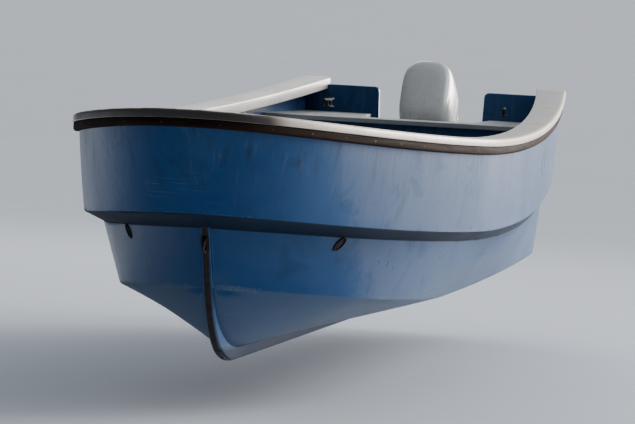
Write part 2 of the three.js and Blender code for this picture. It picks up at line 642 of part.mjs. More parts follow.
// The swivel turns on the tilt pin and holds the upright tube that the motor steers in.
const swivelX = -SWIVEL_AFT;
const upright = (low, high, radius) => bar(vec(swivelX, 0, low), vec(swivelX, 0, high), radius, 24);
const acrossPin = (half, radius) => bar(vec(0, -half, 0), vec(0, half, 0), radius, 24);
const swivelBody = joined(
  acrossPin(CLAMP.inner + CLAMP.thick + 6, CLAMP.pin),
  acrossPin(CLAMP.inner - 5, SWIVEL.hub),
  plate([[10, -20], [10, 24], [swivelX, 34], [swivelX, -20]], -SWIVEL.arm, SWIVEL.arm),
  plate([[-85, -10], [swivelX, -10], [swivelX, -205], [swivelX + 26, -205]], -SWIVEL.web, SWIVEL.web),
  upright(SWIVEL.low, SWIVEL.high, SWIVEL.radius),
);
const swivelBore = solidOf(upright(SWIVEL.low - 5, SWIVEL.high + 5, SWIVEL.bore));
addMesh("swivel_bracket", geometryOf(swivelBody.subtract(swivelBore)), "grey", tilting);

// Level rings of the leg and the cowl: [up, front, back, half breadth, squareness].
function stacked(levels, sides) {
  const section = Array.from({ length: sides }, (_, i) => {
    const angle = (2 * Math.PI * i) / sides;
    return [Math.cos(angle), Math.sin(angle)];
  });
  const rings = levels.map(([up, front, back, half, power]) =>
    section.map(([c, s]) => {
      const round = (v) => Math.sign(v) * Math.abs(v) ** (2 / power);
      return vec((front + back) / 2 + (round(c) * (front - back)) / 2, round(s) * half, up);
    }));
  return sweep(rings, section);
}

const [yokeFore, yokeAft] = YOKE.reach;
const yoke = (low, high) =>
  box(swivelX - yokeAft, swivelX + yokeFore, -YOKE.half, YOKE.half, low, high);
const midsection = stacked(LEG, 20).add(joined(
  upright(SWIVEL.low - YOKE.down[0], SWIVEL.high + YOKE.up[1], SWIVEL.shaft),
  yoke(SWIVEL.high + YOKE.up[0], SWIVEL.high + YOKE.up[1]),
  yoke(SWIVEL.low - YOKE.down[0], SWIVEL.low - YOKE.down[1]),
));
addMesh("midsection", geometryOf(midsection), "grey", tilting);
addMesh("lower_cowl", geometryOf(stacked(LOWER_COWL, 28)), "grey", tilting);
addMesh("motor_cowl", geometryOf(stacked(COWL, 28)), "white", tilting);

const torpedo = new THREE.LatheGeometry(
  GEARCASE.profile.map(([along, radius]) => new THREE.Vector2(radius, along)), 20).rotateZ(Math.PI / 2);
const [plateFront, plateBack, plateHalf, plateThick] = GEARCASE.plateSize;
const gearcase = solidOf(torpedo.translate(0, 0, GEARCASE.axis))
  .add(stacked(GEARCASE.strut, 16))
  .add(joined(
    box(plateBack, plateFront, -plateHalf, plateHalf, GEARCASE.plate - plateThick, GEARCASE.plate),
    plate(GEARCASE.skeg, -GEARCASE.skegHalf, GEARCASE.skegHalf),
  ));
addMesh("gearcase", geometryOf(gearcase), "grey", tilting);

// The propeller: a hub with blades twisted to one pitch.
function bladeOf(angle) {
  const section = [[-0.5, 0], [0, -0.5], [0.5, 0], [0, 0.5]];
  const rings = PROPELLER.blade.map(([radius, chord, thick]) => {
    const pitch = Math.atan2(PROPELLER.pitch, 2 * Math.PI * radius);
    return section.map(([c, t]) => {
      const [across, along] = [
        c * chord * Math.cos(pitch) - t * thick * Math.sin(pitch),
        c * chord * Math.sin(pitch) + t * thick * Math.cos(pitch),
      ];
      return vec(PROPELLER.middle + along, across, radius);
    });
  });
  const blade = geometryOf(sweep(rings, section));
  return solidOf(blade.rotateX(angle).translate(0, 0, GEARCASE.axis));
}
const [hubFront, hubBack] = PROPELLER.hub;
const hub = solidOf(bar(vec(PROPELLER.front, 0, GEARCASE.axis), vec(PROPELLER.back, 0, GEARCASE.axis),
  hubFront, 20, hubBack));
const propeller = [0, 1, 2].reduce((all, i) => all.add(bladeOf((i * 2 * Math.PI) / 3)), hub);
addMesh("propeller", geometryOf(propeller), "steel", tilting);

// The tiller rises forwards from the front of the lower cowl.
const rise = THREE.MathUtils.degToRad(TILLER.rise);
const [rootX, rootZ] = TILLER.root;
const onTiller = (along) => vec(rootX + along * Math.cos(rise), 0, rootZ + along * Math.sin(rise));
const [blockLong, blockHalf, blockUp] = TILLER.block;
const tiller = joined(
  bar(onTiller(TILLER.start), onTiller(TILLER.arm + 4), 17, 12, 14),
  bar(onTiller(TILLER.arm), onTiller(TILLER.long), TILLER.grip, 16),
  box(rootX, rootX + blockLong, -blockHalf, blockHalf, rootZ - blockUp, rootZ + blockUp),
);
addMesh("tiller", geometryOf(tiller), "black", tilting);

export default skiff;
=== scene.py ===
"""The finished surfaces of an open work skiff with a tilted outboard motor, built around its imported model."""

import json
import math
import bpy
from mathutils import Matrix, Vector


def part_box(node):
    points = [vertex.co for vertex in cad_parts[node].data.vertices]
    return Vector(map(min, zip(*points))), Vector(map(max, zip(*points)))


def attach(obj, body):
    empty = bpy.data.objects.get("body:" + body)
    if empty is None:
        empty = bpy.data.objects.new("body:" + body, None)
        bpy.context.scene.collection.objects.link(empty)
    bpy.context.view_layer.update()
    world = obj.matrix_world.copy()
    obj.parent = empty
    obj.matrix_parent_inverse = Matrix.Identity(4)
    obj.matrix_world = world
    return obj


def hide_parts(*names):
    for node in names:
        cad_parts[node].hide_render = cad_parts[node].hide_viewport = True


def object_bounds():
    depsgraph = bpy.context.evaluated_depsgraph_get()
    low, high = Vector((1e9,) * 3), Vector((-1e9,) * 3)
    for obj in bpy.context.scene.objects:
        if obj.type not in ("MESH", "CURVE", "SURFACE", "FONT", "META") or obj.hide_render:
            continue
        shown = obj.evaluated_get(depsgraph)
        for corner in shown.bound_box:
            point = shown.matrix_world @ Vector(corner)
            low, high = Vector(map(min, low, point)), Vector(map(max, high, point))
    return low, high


bl_info = {
    "name": "Work skiff",
    "version": (1, 0, 0),
    "blender": (4, 5, 0),
    "location": "View3D > Sidebar > Skiff",
    "description": "Builds the hull, rails, decks, fittings and motor of an open work skiff",
    "category": "Object",
}

import bmesh
import bpy
import numpy as np
from mathutils import Matrix, Vector
from mathutils.kdtree import KDTree

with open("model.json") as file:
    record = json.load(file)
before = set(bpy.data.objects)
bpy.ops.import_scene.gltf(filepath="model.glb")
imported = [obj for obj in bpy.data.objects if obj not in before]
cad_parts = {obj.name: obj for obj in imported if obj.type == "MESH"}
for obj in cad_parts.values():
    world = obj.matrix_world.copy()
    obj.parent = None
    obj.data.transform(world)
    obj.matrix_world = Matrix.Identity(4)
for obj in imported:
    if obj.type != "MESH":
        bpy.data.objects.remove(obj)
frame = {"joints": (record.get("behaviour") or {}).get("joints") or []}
CAD_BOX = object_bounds()

# Driving dimensions, in metres. "Aft" is a distance behind the bow, "up" a height over the keel's bottom.
HULL_LOW, HULL_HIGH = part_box("hull_shell")
AMIDSHIPS = HULL_HIGH.x
LENGTH = HULL_HIGH.x - HULL_LOW.x
DRAFT = -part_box("keel")[0].z
SKIN = 0.014
FIT = 0.0003

# The four long lines of each side, as the part has them.
BLUNT = {"entry": 2.459, "nose": 0.518, "fullness": 1.614}
LINES = {
    "gunwale": {"start": 0.0, "half": 0.937, "stern": 0.690, **BLUNT},
    "knuckle": {"start": 0.157, "half": 0.919, "stern": 0.677, **BLUNT},
    "step": {"start": 0.423, "half": 0.872, "stern": 0.625, "entry": 2.751, "swell": 2.418, "round": 1.154},
    "chine": {"start": 0.552, "half": 0.712, "stern": 0.585, "entry": 2.164, "swell": 2.433, "round": 1.225},
}
INSET = {
    "gunwale": (1.0, 0.0),
    "knuckle": (1.0, 0.6),
    "step": (0.9, 0.8),
    "chine": (0.7, 0.85),
    "rabbet": (0.0, 1.1),
}
SHEER = {"low": 0.948, "bow_rise": 0.144, "stern_rise": 0.143}
BAND = {"height": 0.394, "bow_extra": 0.020}
STEP_DROP = 0.044
CHINE_UP = {"low": 0.241, "bow_rise": 0.110, "power": 1.7}
RABBET = {"top": (0.423, 0.613), "bend": (0.552, 0.351), "corner": (0.738, 0.055), "foot": (1.180, 0.055)}
KEEL = {"top": (0.412, 0.610), "bend": (0.540, 0.346), "corner": (0.710, 0.0), "foot": (1.131, 0.0)}
KEEL_HALF = {"stem": 0.022, "aft": 0.045, "full_at": 1.5, "low_stem": 0.0176, "low_aft": 0.026,
             "let_in": 0.045, "into_skin": 0.006, "round": 0.011}
WORN_REACH = 0.012

# Inside, as the part has it.
PANEL = 0.018
FOREDECK = {"top": 0.800, "thick": 0.020, "end": 1.170, "overhang": 0.020}
HATCH = {"from": 0.560, "to": 0.960, "half": 0.200, "lid": 0.018, "lap": 0.014}
SOLE = {"top": 0.235, "thick": 0.018}
THWARTS = {"thwart_fore": (2.250, 2.550), "thwart_mid": (3.900, 4.200)}
THWART = {"top": 0.620, "thick": 0.036, "post_half": 0.035}
RISER = {"tall": 0.060, "deep": 0.046, "steps": 9}
FRAMES = {"wide": 0.044, "deep": 0.026, "places": (1.700, 2.900, 3.550, 4.550, 5.150), "steps": 46}
AFT_DECK = {"from": 5.550, "top": 0.945, "thick": 0.025, "overhang": 0.022}
TRANSOM = {"thick": 0.055, "flange": 0.012, "sill": 0.650, "cut_top": 0.290, "cut_sill": 0.272}
WELL = {"from": 5.760, "half": 0.320, "floor": 0.420, "wall": 0.014}
PAD = {"half": 0.150, "thick": 0.012, "cap": 0.006, "low": 0.470}


def forward(aft):
    return AMIDSHIPS - aft


def above(up):
    return up - DRAFT


# Hull lines, as functions of arrays of runs from the bow.
def bow_share(aft):
    return np.clip(1 - aft / (LENGTH / 2), 0, None) ** 2


def stern_share(aft):
    return np.clip((aft - LENGTH / 2) / (LENGTH / 2), 0, 1) ** 2


def blunt_half(run, line):
    t = np.linspace(0, 1, 4001)
    nose = line["nose"] * line["half"] / LINES["gunwale"]["half"]
    x = 3 * t**2 * (1 - t) * line["fullness"] + t**3 * line["entry"]
    y = 3 * t * (1 - t) ** 2 * nose + 3 * t**2 * (1 - t) * line["half"] + t**3 * line["half"]
    return np.interp(run, x, y)


def half_breadth(run, line):
    share = np.clip(1 - run / line["entry"], 0, 1)
    if "nose" in line:
        entry = blunt_half(run, line)
    else:
        entry = line["half"] * (1 - share ** line["swell"]) ** (1 / line["round"])
    past = np.clip((run - line["entry"]) / (LENGTH - line["entry"]), 0, 1)
    return np.where(run < line["entry"], entry, line["half"] - (line["half"] - line["stern"]) * past**2)


def aft_of(run, line):
    return line["start"] + run * (LENGTH - line["start"]) / LENGTH


def run_at(aft, line):
    return (aft - line["start"]) * LENGTH / (LENGTH - line["start"])


def sheer_up(run):
    return SHEER["low"] + SHEER["bow_rise"] * bow_share(run) + SHEER["stern_rise"] * stern_share(run)


def knuckle_up(run):
    return sheer_up(run) - BAND["height"] - BAND["bow_extra"] * bow_share(run)


def step_up(run):
    return knuckle_up(run_at(aft_of(run, LINES["step"]), LINES["knuckle"])) - STEP_DROP


def chine_up(run):
    share = np.clip(1 - run / LINES["chine"]["entry"], 0, 1)
    return CHINE_UP["low"] + CHINE_UP["bow_rise"] * share ** CHINE_UP["power"]


LINE_UP = {"gunwale": sheer_up, "knuckle": knuckle_up, "step": step_up, "chine": chine_up}


def keel_half(aft):
    share = np.clip((aft - RABBET["bend"][0]) / (KEEL_HALF["full_at"] - RABBET["bend"][0]), 0, 1)
    return KEEL_HALF["stem"] + (KEEL_HALF["aft"] - KEEL_HALF["stem"]) * share


def rabbet_share(aft):
    a0, a1, a2 = (RABBET[name][0] for name in ("bend", "corner", "foot"))
    square, slope = a0 - 2 * a1 + a2, 2 * (a1 - a0)
    return np.clip((np.sqrt(slope**2 + 4 * square * np.maximum(aft - a0, 0)) - slope) / (2 * square), 0, 1)


def bend_through(points, t):
    first, corner, last = ((1 - t) ** 2, 2 * t * (1 - t), t**2)
    return tuple(first * a + corner * b + last * c for a, b, c in zip(*points))


def rabbet_up(aft):
    return bend_through([RABBET[name] for name in ("bend", "corner", "foot")], rabbet_share(aft))[1]


def line_at(name, run, inset=0.0):
    """Points of a line on the port side, moved in by a thickness, with their outward direction in plan."""
    line = LINES[name]
    near, far = np.maximum(run - 5e-4, 0), np.minimum(run + 5e-4, LENGTH)
    along = aft_of(far, line) - aft_of(near, line)
    out = half_breadth(far, line) - half_breadth(near, line)
    size = np.hypot(along, out)
    aft = aft_of(run, line)
    inwards, upwards = INSET[name]
    x = forward(aft) - inset * inwards * out / size
    y = half_breadth(run, line) - inset * inwards * along / size
    least = 0 if name in ("gunwale", "knuckle") else keel_half(aft)
    z = above(LINE_UP[name](run)) + inset * upwards
    return np.stack([x, np.maximum(y, least), z], -1), np.stack([out, along], -1) / size[:, None]


def rabbet_line(run, inset=0.0):
    """Where the skin meets the keel, under the chine's points."""
    chine = line_at("chine", run, inset)[0]
    aft = aft_of(run, LINES["chine"])
    z = above(rabbet_up(aft)) + inset * INSET["rabbet"][1]
    return np.stack([chine[:, 0], keel_half(aft), np.minimum(z, chine[:, 2])], -1)


# Finishes.
class Wire:
    """An output socket of a finish, so that maths on it reads as maths and adds Math nodes."""

    def __init__(self, finish_of, socket):
        self.finish = finish_of
        self.socket = socket

    def maths(self, operation, *values):
        return self.finish.node("ShaderNodeMath", {"operation": operation}, dict(enumerate(values)))

    def __add__(self, other):
        return self.maths("ADD", self, other)

    def __sub__(self, other):
        return self.maths("SUBTRACT", self, other)

    def __rsub__(self, other):
        return self.maths("SUBTRACT", other, self)

    def __mul__(self, other):
        return self.maths("MULTIPLY", self, other)

    __radd__ = __add__
    __rmul__ = __mul__


class Finish:
    """A material made of nodes, or the nodes of the world."""

    def __init__(self, holder):
        self.material = holder
        holder.use_nodes = True
        self.tree = holder.node_tree
        self.tree.nodes.clear()

    def node(self, kind, settings=None, sockets=None, output=0):
        """Adds a node: its settings first, such as its operation, then its sockets' values or links."""
        node = self.tree.nodes.new(kind)
        for key, value in (settings or {}).items():
            setattr(node, key, value)
        for key, value in (sockets or {}).items():
            if isinstance(value, Wire):
                self.tree.links.new(value.socket, node.inputs[key])
            else:
                node.inputs[key].default_value = value
        return Wire(self, node.outputs[output]) if len(node.outputs) else None

    def place(self, stretch=(1, 1, 1), turn=(0, 0, 0), attribute=None):
        """Object coordinates in metres, or a stored place, scaled along each axis."""
        source = self.stored(attribute, "Vector") if attribute else self.coordinates("Object")
        return self.node("ShaderNodeMapping", {"vector_type": "POINT"},
                         {"Vector": source, "Scale": stretch, "Rotation": turn})

    def coordinates(self, source):
        return self.node("ShaderNodeTexCoord", output=source)

    def stored(self, attribute, output):
        """What a mesh stores at its points, such as the nearness of a worn edge."""
        return self.node("ShaderNodeAttribute", {"attribute_name": attribute}, output=output)

    def axis(self, name, source="Object"):
        """One coordinate of the place on the object, or of the surface's direction."""
        return self.part_of(self.coordinates(source), name)

    def part_of(self, vector, name):
        return self.node("ShaderNodeSeparateXYZ", None, {0: vector}, name)

    def noise(self, scale, detail=4.0, rough=0.55, warp=0.0, **place):
        return self.node("ShaderNodeTexNoise", {"noise_dimensions": "3D"}, {
            "Vector": self.place(**place), "Scale": scale, "Detail": detail,
            "Roughness": rough, "Distortion": warp})

    def cells(self, scale, output="Distance"):
        return self.node("ShaderNodeTexVoronoi", {"feature": "F1"},
                         {"Vector": self.place(), "Scale": scale, "Randomness": 1.0}, output)

    def step(self, value, low, high, start=0.0, end=1.0):
        """A smooth step of a value between two levels."""
        return self.node("ShaderNodeMapRange", {"interpolation_type": "SMOOTHSTEP"}, {
            "Value": value, "From Min": low, "From Max": high, "To Min": start, "To Max": end})

    def blend(self, factor, first, second, kind="MIX"):
        first, second = ((*c, 1.0) if isinstance(c, tuple) and len(c) == 3 else c for c in (first, second))
        return self.node("ShaderNodeMix", {"data_type": "RGBA", "blend_type": kind, "clamp_factor": True},
                         {0: factor, 6: first, 7: second}, 2)

    def mixed(self, factor, first, second):
        return self.node("ShaderNodeMixShader", None, {0: factor, 1: first, 2: second})

    def layered(self, colour, wear, *layers):
        """A colour with stains over it, each a mask, how much it covers and its own colour."""
        for mask, amount, stain in layers:
            colour = self.blend(mask * (amount * wear), colour, stain)
        return colour

    def hollows(self):
        """Light in the crevices and dark on the edges, from the surface's own curve."""
        return self.node("ShaderNodeNewGeometry", output="Pointiness")

    def bump(self, height, distance, strength):
        return self.node("ShaderNodeBump", None,
                         {"Height": height, "Distance": distance, "Strength": strength})

    def surface(self, colour, rough, normal, metallic=0.0, **constant):
        """The shader. What varies feeds its colour, roughness, metallic or normal; the rest is constant."""
        sockets = {"Base Color": colour, "Roughness": rough, "Metallic": metallic, "Normal": normal}
        sockets.update({key.replace("_", " "): value for key, value in constant.items()})
        shader = self.node("ShaderNodeBsdfPrincipled", None, sockets)
        self.node("ShaderNodeOutputMaterial", None, {"Surface": shader})
        return self.material


def scaled(colour, amount):
    return tuple(channel * amount for channel in colour)


def toned(colour, other, share):
    return tuple(a + (b - a) * share for a, b in zip(colour, other))


def hull_gelcoat(f, colours, sizes):
    """Deep blue gelcoat, lightly chalked with a painted sheen mixed into the chalk behind the bow, with rain
    runs, scuffs, a tide mark, rubbed edges and painted shade under the step.
    """
    wear, base = sizes.wear, tuple(colours.hull)
    up, cloud = f.axis("Z"), f.noise(1.3, 6, 0.6)
    near_rail = f.step(up, 0.25, 0.85)
    runs = f.step(f.noise(1.0, 5, 0.6, stretch=(24, 24, 1.1)), 0.50, 0.76) * near_rail
    pale_runs = f.step(f.noise(1.0, 4, 0.5, stretch=(40, 40, 0.8)), 0.58, 0.74) * near_rail
    water = up + f.noise(2.2, 5, 0.6) * 0.05
    facing_down = f.axis("Z", "Normal")
    bottom = f.step(facing_down, -0.30, -0.52) * f.step(up, 0.26, 0.16)
    foot = f.step(up + f.noise(5.0, 4, 0.6) * 0.03, -0.105, -0.135)
    tide = (f.step(water, 0.036, 0.052) * f.step(water, 0.085, 0.058)
            * f.step(f.noise(16.0, 8, 0.7), 0.35, 0.65))
    rubbed = f.step(f.noise(2.1, 3, 0.5), 0.50, 0.64)
    scuffs = f.step(f.noise(1.0, 3, 0.55, stretch=(1.7, 1.7, 110)), 0.63, 0.71) * rubbed
    scrapes = f.step(f.noise(1.0, 2, 0.5, stretch=(2.4, 2.4, 170), turn=(0, 0.10, 0)), 0.685, 0.705) * rubbed
    edge = f.stored("worn_edge", "Fac")
    chips = f.step(edge + (f.noise(70, 5, 0.7) - 0.5) + (f.noise(3.5, 3, 0.5) - 0.5) * 1.2, 1.02, 1.16)
    salt = f.step(f.cells(230), 0.15, 0.08) * f.step(f.noise(3.0, 4, 0.6), 0.54, 0.68)
    # Painted shade: the down-facing underside of the step, high on the hull, is darkened almost to black.
    painted_shade_under_step = f.step(facing_down, -0.42, -0.62) * f.step(up, 0.18, 0.30)
    along = f.axis("X")
    # A pale band a metre or two behind the bow, fainter aft: partly chalking and partly a painted sheen of
    # reflected light.
    chalk_and_painted_sheen = (f.step(along - up + f.noise(1.6, 5, 0.6) * 0.7, 2.36, 2.02)
             * f.step(along, 0.2, 1.5, 0.30, 1.0))
    colour = f.layered(
        base, wear,
        (f.step(cloud, 0.35, 0.70), 0.10, (0.24, 0.33, 0.42)),
        (chalk_and_painted_sheen, 0.26, (0.34, 0.355, 0.38)),
        (f.step(f.noise(5.0, 5, 0.65, warp=0.6), 0.50, 0.72), 0.45, scaled(base, 0.60)),
        (runs, 0.45, (0.020, 0.028, 0.036)),
        (pale_runs, 0.10, (0.30, 0.36, 0.40)),
        (bottom, 0.46, (0.150, 0.185, 0.225)),
        (foot, 0.80, (0.006, 0.018, 0.036)),
        (tide, 0.10, (0.20, 0.22, 0.22)),
        (scuffs, 0.16, (0.28, 0.35, 0.41)),
        (scrapes, 0.32, (0.36, 0.40, 0.43)),
        (chips, 0.32, (0.24, 0.29, 0.33)),
        (salt, 0.14, (0.50, 0.52, 0.53)),
        (painted_shade_under_step, 0.88, (0.004, 0.010, 0.020)))
    rough = (f.step(cloud, 0.3, 0.7, 0.26, 0.35) + scuffs * 0.2 + chips * 0.3 + bottom * 0.10 + foot * 0.30
             + runs * 0.08 + painted_shade_under_step * 0.2)
    print_through = f.noise(1.0, 2, 0.4, stretch=(2.6, 2.6, 0.5))
    height = (print_through * 2.2 + f.noise(9.0, 2, 0.5) * 0.3 + f.noise(320, 2, 0.5) * 0.05
              - scrapes * 0.16 - chips * 0.2)
    return f.surface(colour, rough, f.bump(height, 0.0012, 0.5), IOR=1.34)


def liner_gelcoat(f, colours, sizes):
    """Pale moulded liner, darker low down, with dirt and painted shade in its concave corners, foot marks and
    chips.
    """
    base, cloud = tuple(colours.liner), f.noise(1.9, 6, 0.6)
    clouded = f.blend(f.step(cloud, 0.35, 0.7, 0.0, 0.5), base, toned(base, (0.50, 0.47, 0.40), 0.4))
    runs = f.step(f.noise(1.0, 5, 0.6, stretch=(22, 22, 1.6)), 0.52, 0.75)
    marks = f.step(f.noise(1.0, 4, 0.6, stretch=(7, 7, 60)), 0.64, 0.70)
    specks = f.step(f.cells(70), 0.10, 0.05) * f.step(f.noise(4.0, 3, 0.5), 0.5, 0.6)
    colour = f.layered(
        clouded, sizes.wear,
        (runs, 0.40, (0.30, 0.27, 0.22)),
        (f.step(f.axis("Z") + f.noise(6.0, 4, 0.6) * 0.16, 0.22, 0.06), 0.50, (0.24, 0.22, 0.18)),
        (marks, 0.45, (0.16, 0.16, 0.16)),
        # Painted shade with some dirt: darker in the concave corners, found from the surface's curve.
        (f.step(f.hollows(), 0.49, 0.44), 0.5, (0.22, 0.20, 0.17)),
        (specks, 0.6, (0.20, 0.14, 0.09)))
    rough = f.step(cloud, 0.3, 0.7, 0.32, 0.50) + marks * 0.15 + runs * 0.08
    height = f.noise(12.0, 2, 0.5) * 0.6 + f.noise(240, 3, 0.6) * 0.10
    return f.surface(colour, rough, f.bump(height, 0.0012, 0.5))


PITCH_AT_SCALE_ONE = 0.3142


def deck_nonslip(f, colours, sizes):
    """Pale deck moulding with a raised diamond grip pattern on its flats."""
    base = tuple(colours.deck)
    flat = f.step(f.axis("Z", "Normal"), 0.90, 0.97)
    across, back = (f.step(ridge_waves(f, sizes.nonslip_pitch, turn), 0.55, 0.80) for turn in (32, -32))
    grip = across * back * flat
    clouded = f.blend(f.step(f.noise(2.3, 6, 0.62), 0.32, 0.7, 0.0, 0.6), base, scaled(base, 0.72))
    dirt = f.step(f.noise(12.0, 9, 0.74), 0.40, 0.68)
    worn = f.step(f.noise(2.8, 4, 0.55), 0.52, 0.66) * grip
    colour = f.layered(
        clouded, sizes.wear,
        ((1 - grip) * dirt * flat, 0.42, (0.17, 0.155, 0.13)),
        (worn, 0.40, (0.62, 0.62, 0.60)),
        (f.step(f.noise(1.0, 4, 0.6, stretch=(5, 26, 20)), 0.66, 0.70), 0.35, (0.12, 0.12, 0.12)))
    rough = f.step(dirt, 0, 1, 0.50, 0.72) - worn * 0.12
    return f.surface(colour, rough, f.bump(grip + f.noise(420, 2, 0.6) * 0.12, 0.0011, 0.9))


def ridge_waves(f, pitch, turn):
    """Waves across the deck at a pitch in metres, turned by an angle in degrees."""
    place = f.place(turn=(0, 0, math.radians(turn)))
    return f.node("ShaderNodeTexWave",
                  {"wave_type": "BANDS", "bands_direction": "X", "wave_profile": "SIN"},
                  {"Vector": place, "Scale": PITCH_AT_SCALE_ONE / pitch, "Distortion": 0.0})


def cap_gelcoat(f, colours, sizes):
    """Cream rail with rope rubs and dirt along its edges, and painted shade that turns its outboard face
    near-black round the bow and forward along the starboard side.
    """
    base, cloud = tuple(colours.cap), f.noise(2.6, 6, 0.6)
    lay = f.stored("lay", "Vector")
    from_middle = f.node("ShaderNodeVectorMath", {"operation": "SUBTRACT"},
                         {0: f.coordinates("Object"), 1: (1.4, 0, 0)})
    outward = f.node("ShaderNodeVectorMath", {"operation": "DOT_PRODUCT"},
                     {0: from_middle, 1: f.coordinates("Normal")}, "Value")
    # Painted shade: the outboard face is made near-black round the bow and about a metre aft on the starboard
    # side only.
    painted_shade_face = (f.step(outward, 0.25, 0.45)
             * f.step(f.part_of(lay, "Z") + f.noise(6.0, 5, 0.65) * 0.022, 0.050, 0.042)
             * f.step(f.axis("X") - f.axis("Y") * 0.9 + f.noise(1.5, 3, 0.5) * 0.3, 2.78, 3.0))
    outer = f.step(f.part_of(lay, "Y") + f.noise(9.0, 4, 0.6) * 0.02, 0.065, 0.040)
    clouded = f.blend(f.step(cloud, 0.35, 0.7, 0.0, 0.55),
                      f.blend(outer, toned(base, (0.50, 0.53, 0.56), 0.75), scaled(base, 1.08)),
                      toned(base, (0.40, 0.33, 0.25), 0.35))
    rubs = f.step(f.noise(1.0, 4, 0.6, stretch=(9, 2.5, 1), attribute="lay"), 0.58, 0.70)
    ropes = f.step(f.noise(1.0, 2, 0.5, stretch=(60, 1.0, 1), attribute="lay"), 0.70, 0.74)
    edge = f.step(f.hollows() + (f.noise(45, 5, 0.7) - 0.5) * 0.10, 0.535, 0.575)
    specks = f.step(f.cells(90), 0.11, 0.05) * f.step(f.noise(5.0, 3, 0.5), 0.5, 0.6)
    colour = f.layered(
        clouded, sizes.wear,
        (rubs, 0.45, (0.22, 0.20, 0.18)),
        (ropes * f.step(f.noise(3, 3, 0.5), 0.5, 0.6), 0.6, (0.10, 0.095, 0.09)),
        (edge, 0.55, (0.33, 0.30, 0.26)),
        (specks, 0.6, (0.17, 0.13, 0.10)),
        (painted_shade_face, 0.93, (0.012, 0.010, 0.011)))
    rough = f.step(cloud, 0.3, 0.7, 0.28, 0.44) + rubs * 0.18 + painted_shade_face * 0.15
    height = f.noise(14.0, 3, 0.5) * 0.5 + f.noise(260, 3, 0.6) * 0.10 - edge * 0.2
    return f.surface(colour, rough, f.bump(height, 0.0012, 0.5), Coat_Weight=0.15, Coat_Roughness=0.2)


def strake_timber(f, colours, sizes):
    """Dark hardwood strip with its grain along the boat, oiled, with pale rubbed places."""
    base = tuple(colours.strake)
    grain = f.noise(1.0, 8, 0.65, stretch=(4.0, 150, 150), warp=0.8, attribute="lay")
    broad = f.noise(1.0, 4, 0.5, stretch=(1.3, 20, 20), attribute="lay")
    grained = f.blend(f.step(grain, 0.35, 0.68), scaled(base, 0.45), scaled(base, 1.35))
    grained = f.blend(f.step(broad, 0.40, 0.66, 0.0, 0.55), grained, toned(base, (0.10, 0.055, 0.035), 0.4))
    rubbed = f.step(f.noise(1.0, 5, 0.6, stretch=(5, 30, 30), attribute="lay"), 0.58, 0.72)
    colour = f.layered(grained, sizes.wear, (rubbed, 0.20, (0.12, 0.09, 0.075)))
    rough = f.step(grain, 0.3, 0.7, 0.62, 0.84) + rubbed * 0.08
    height = grain * 0.7 + f.noise(1.0, 2, 0.5, stretch=(30, 700, 700), attribute="lay") * 0.25
    return f.surface(colour, rough, f.bump(height, 0.0010, 0.8), IOR=1.2)


def galvanised(f, colours, sizes):
    """Zinc-coated steel with faint crystals, white bloom and rust where it is rubbed through."""
    return zinc_on_steel(f, sizes.wear, 1.0, 0.60, (0.13, 0.052, 0.024))


def strap_steel(f, colours, sizes):
    """The stem strap's steel, its zinc mostly gone and browned by rust."""
    return zinc_on_steel(f, sizes.wear, 0.10, 0.46, (0.034, 0.017, 0.013))


def zinc_on_steel(f, wear, bright, rust_from, rust_colour):
    crystals = f.cells(110, output="Color")
    tint = f.blend(0.10, scaled((0.44, 0.45, 0.46), bright), crystals, "OVERLAY")
    bloom = f.step(f.noise(38, 7, 0.65), 0.46, 0.66)
    rust = f.step(f.noise(26, 7, 0.7) + (f.hollows() - 0.5) * 1.2, rust_from, rust_from + 0.12)
    colour = f.layered(tint, wear, (bloom, 0.55 * bright, (0.50, 0.51, 0.51)), (rust, 0.80, rust_colour))
    rough = f.step(bloom, 0, 1, 0.34, 0.58) + rust * 0.25
    height = f.noise(160, 4, 0.6) * 0.4 + bloom * 0.3 + rust * 0.5
    bare = (1 - rust * 0.9) * (1 - bloom * 0.35)
    return f.surface(colour, rough, f.bump(height, 0.0005, 0.6), metallic=bare)


def black_moulding(f, wear, bright, grey, rough, edge_from, salt_from):
    """Black rubber or plastic, greyed on its edges and dusty with salt."""
    cloud = f.noise(14, 6, 0.65)
    edge = f.step(f.hollows() + (f.noise(90, 4, 0.7) - 0.5) * 0.08, edge_from, edge_from + 0.05)
    colour = f.layered(
        f.blend(f.step(cloud, 0.38, 0.66), (bright,) * 3, (bright * 2.2,) * 3), wear,
        (edge, 0.6, (grey,) * 3),
        (f.step(f.noise(60, 6, 0.7), salt_from, salt_from + 0.12), 0.25, (0.35, 0.35, 0.34)))
    return f.surface(colour, f.step(cloud, 0.3, 0.7, *rough), f.bump(f.noise(300, 3, 0.6), 0.0004, 0.6))


def pad_rubber(f, colours, sizes):
    """Black rubber of the motor pad and the scuppers' flaps."""
    return black_moulding(f, sizes.wear, 0.009, 0.09, (0.70, 0.88), 0.53, 0.66)


def cleat_nylon(f, colours, sizes):
    """Black nylon of the cleats, dulled by sun and ropes."""
    return black_moulding(f, sizes.wear, 0.011, 0.05, (0.58, 0.74), 0.54, 0.72)


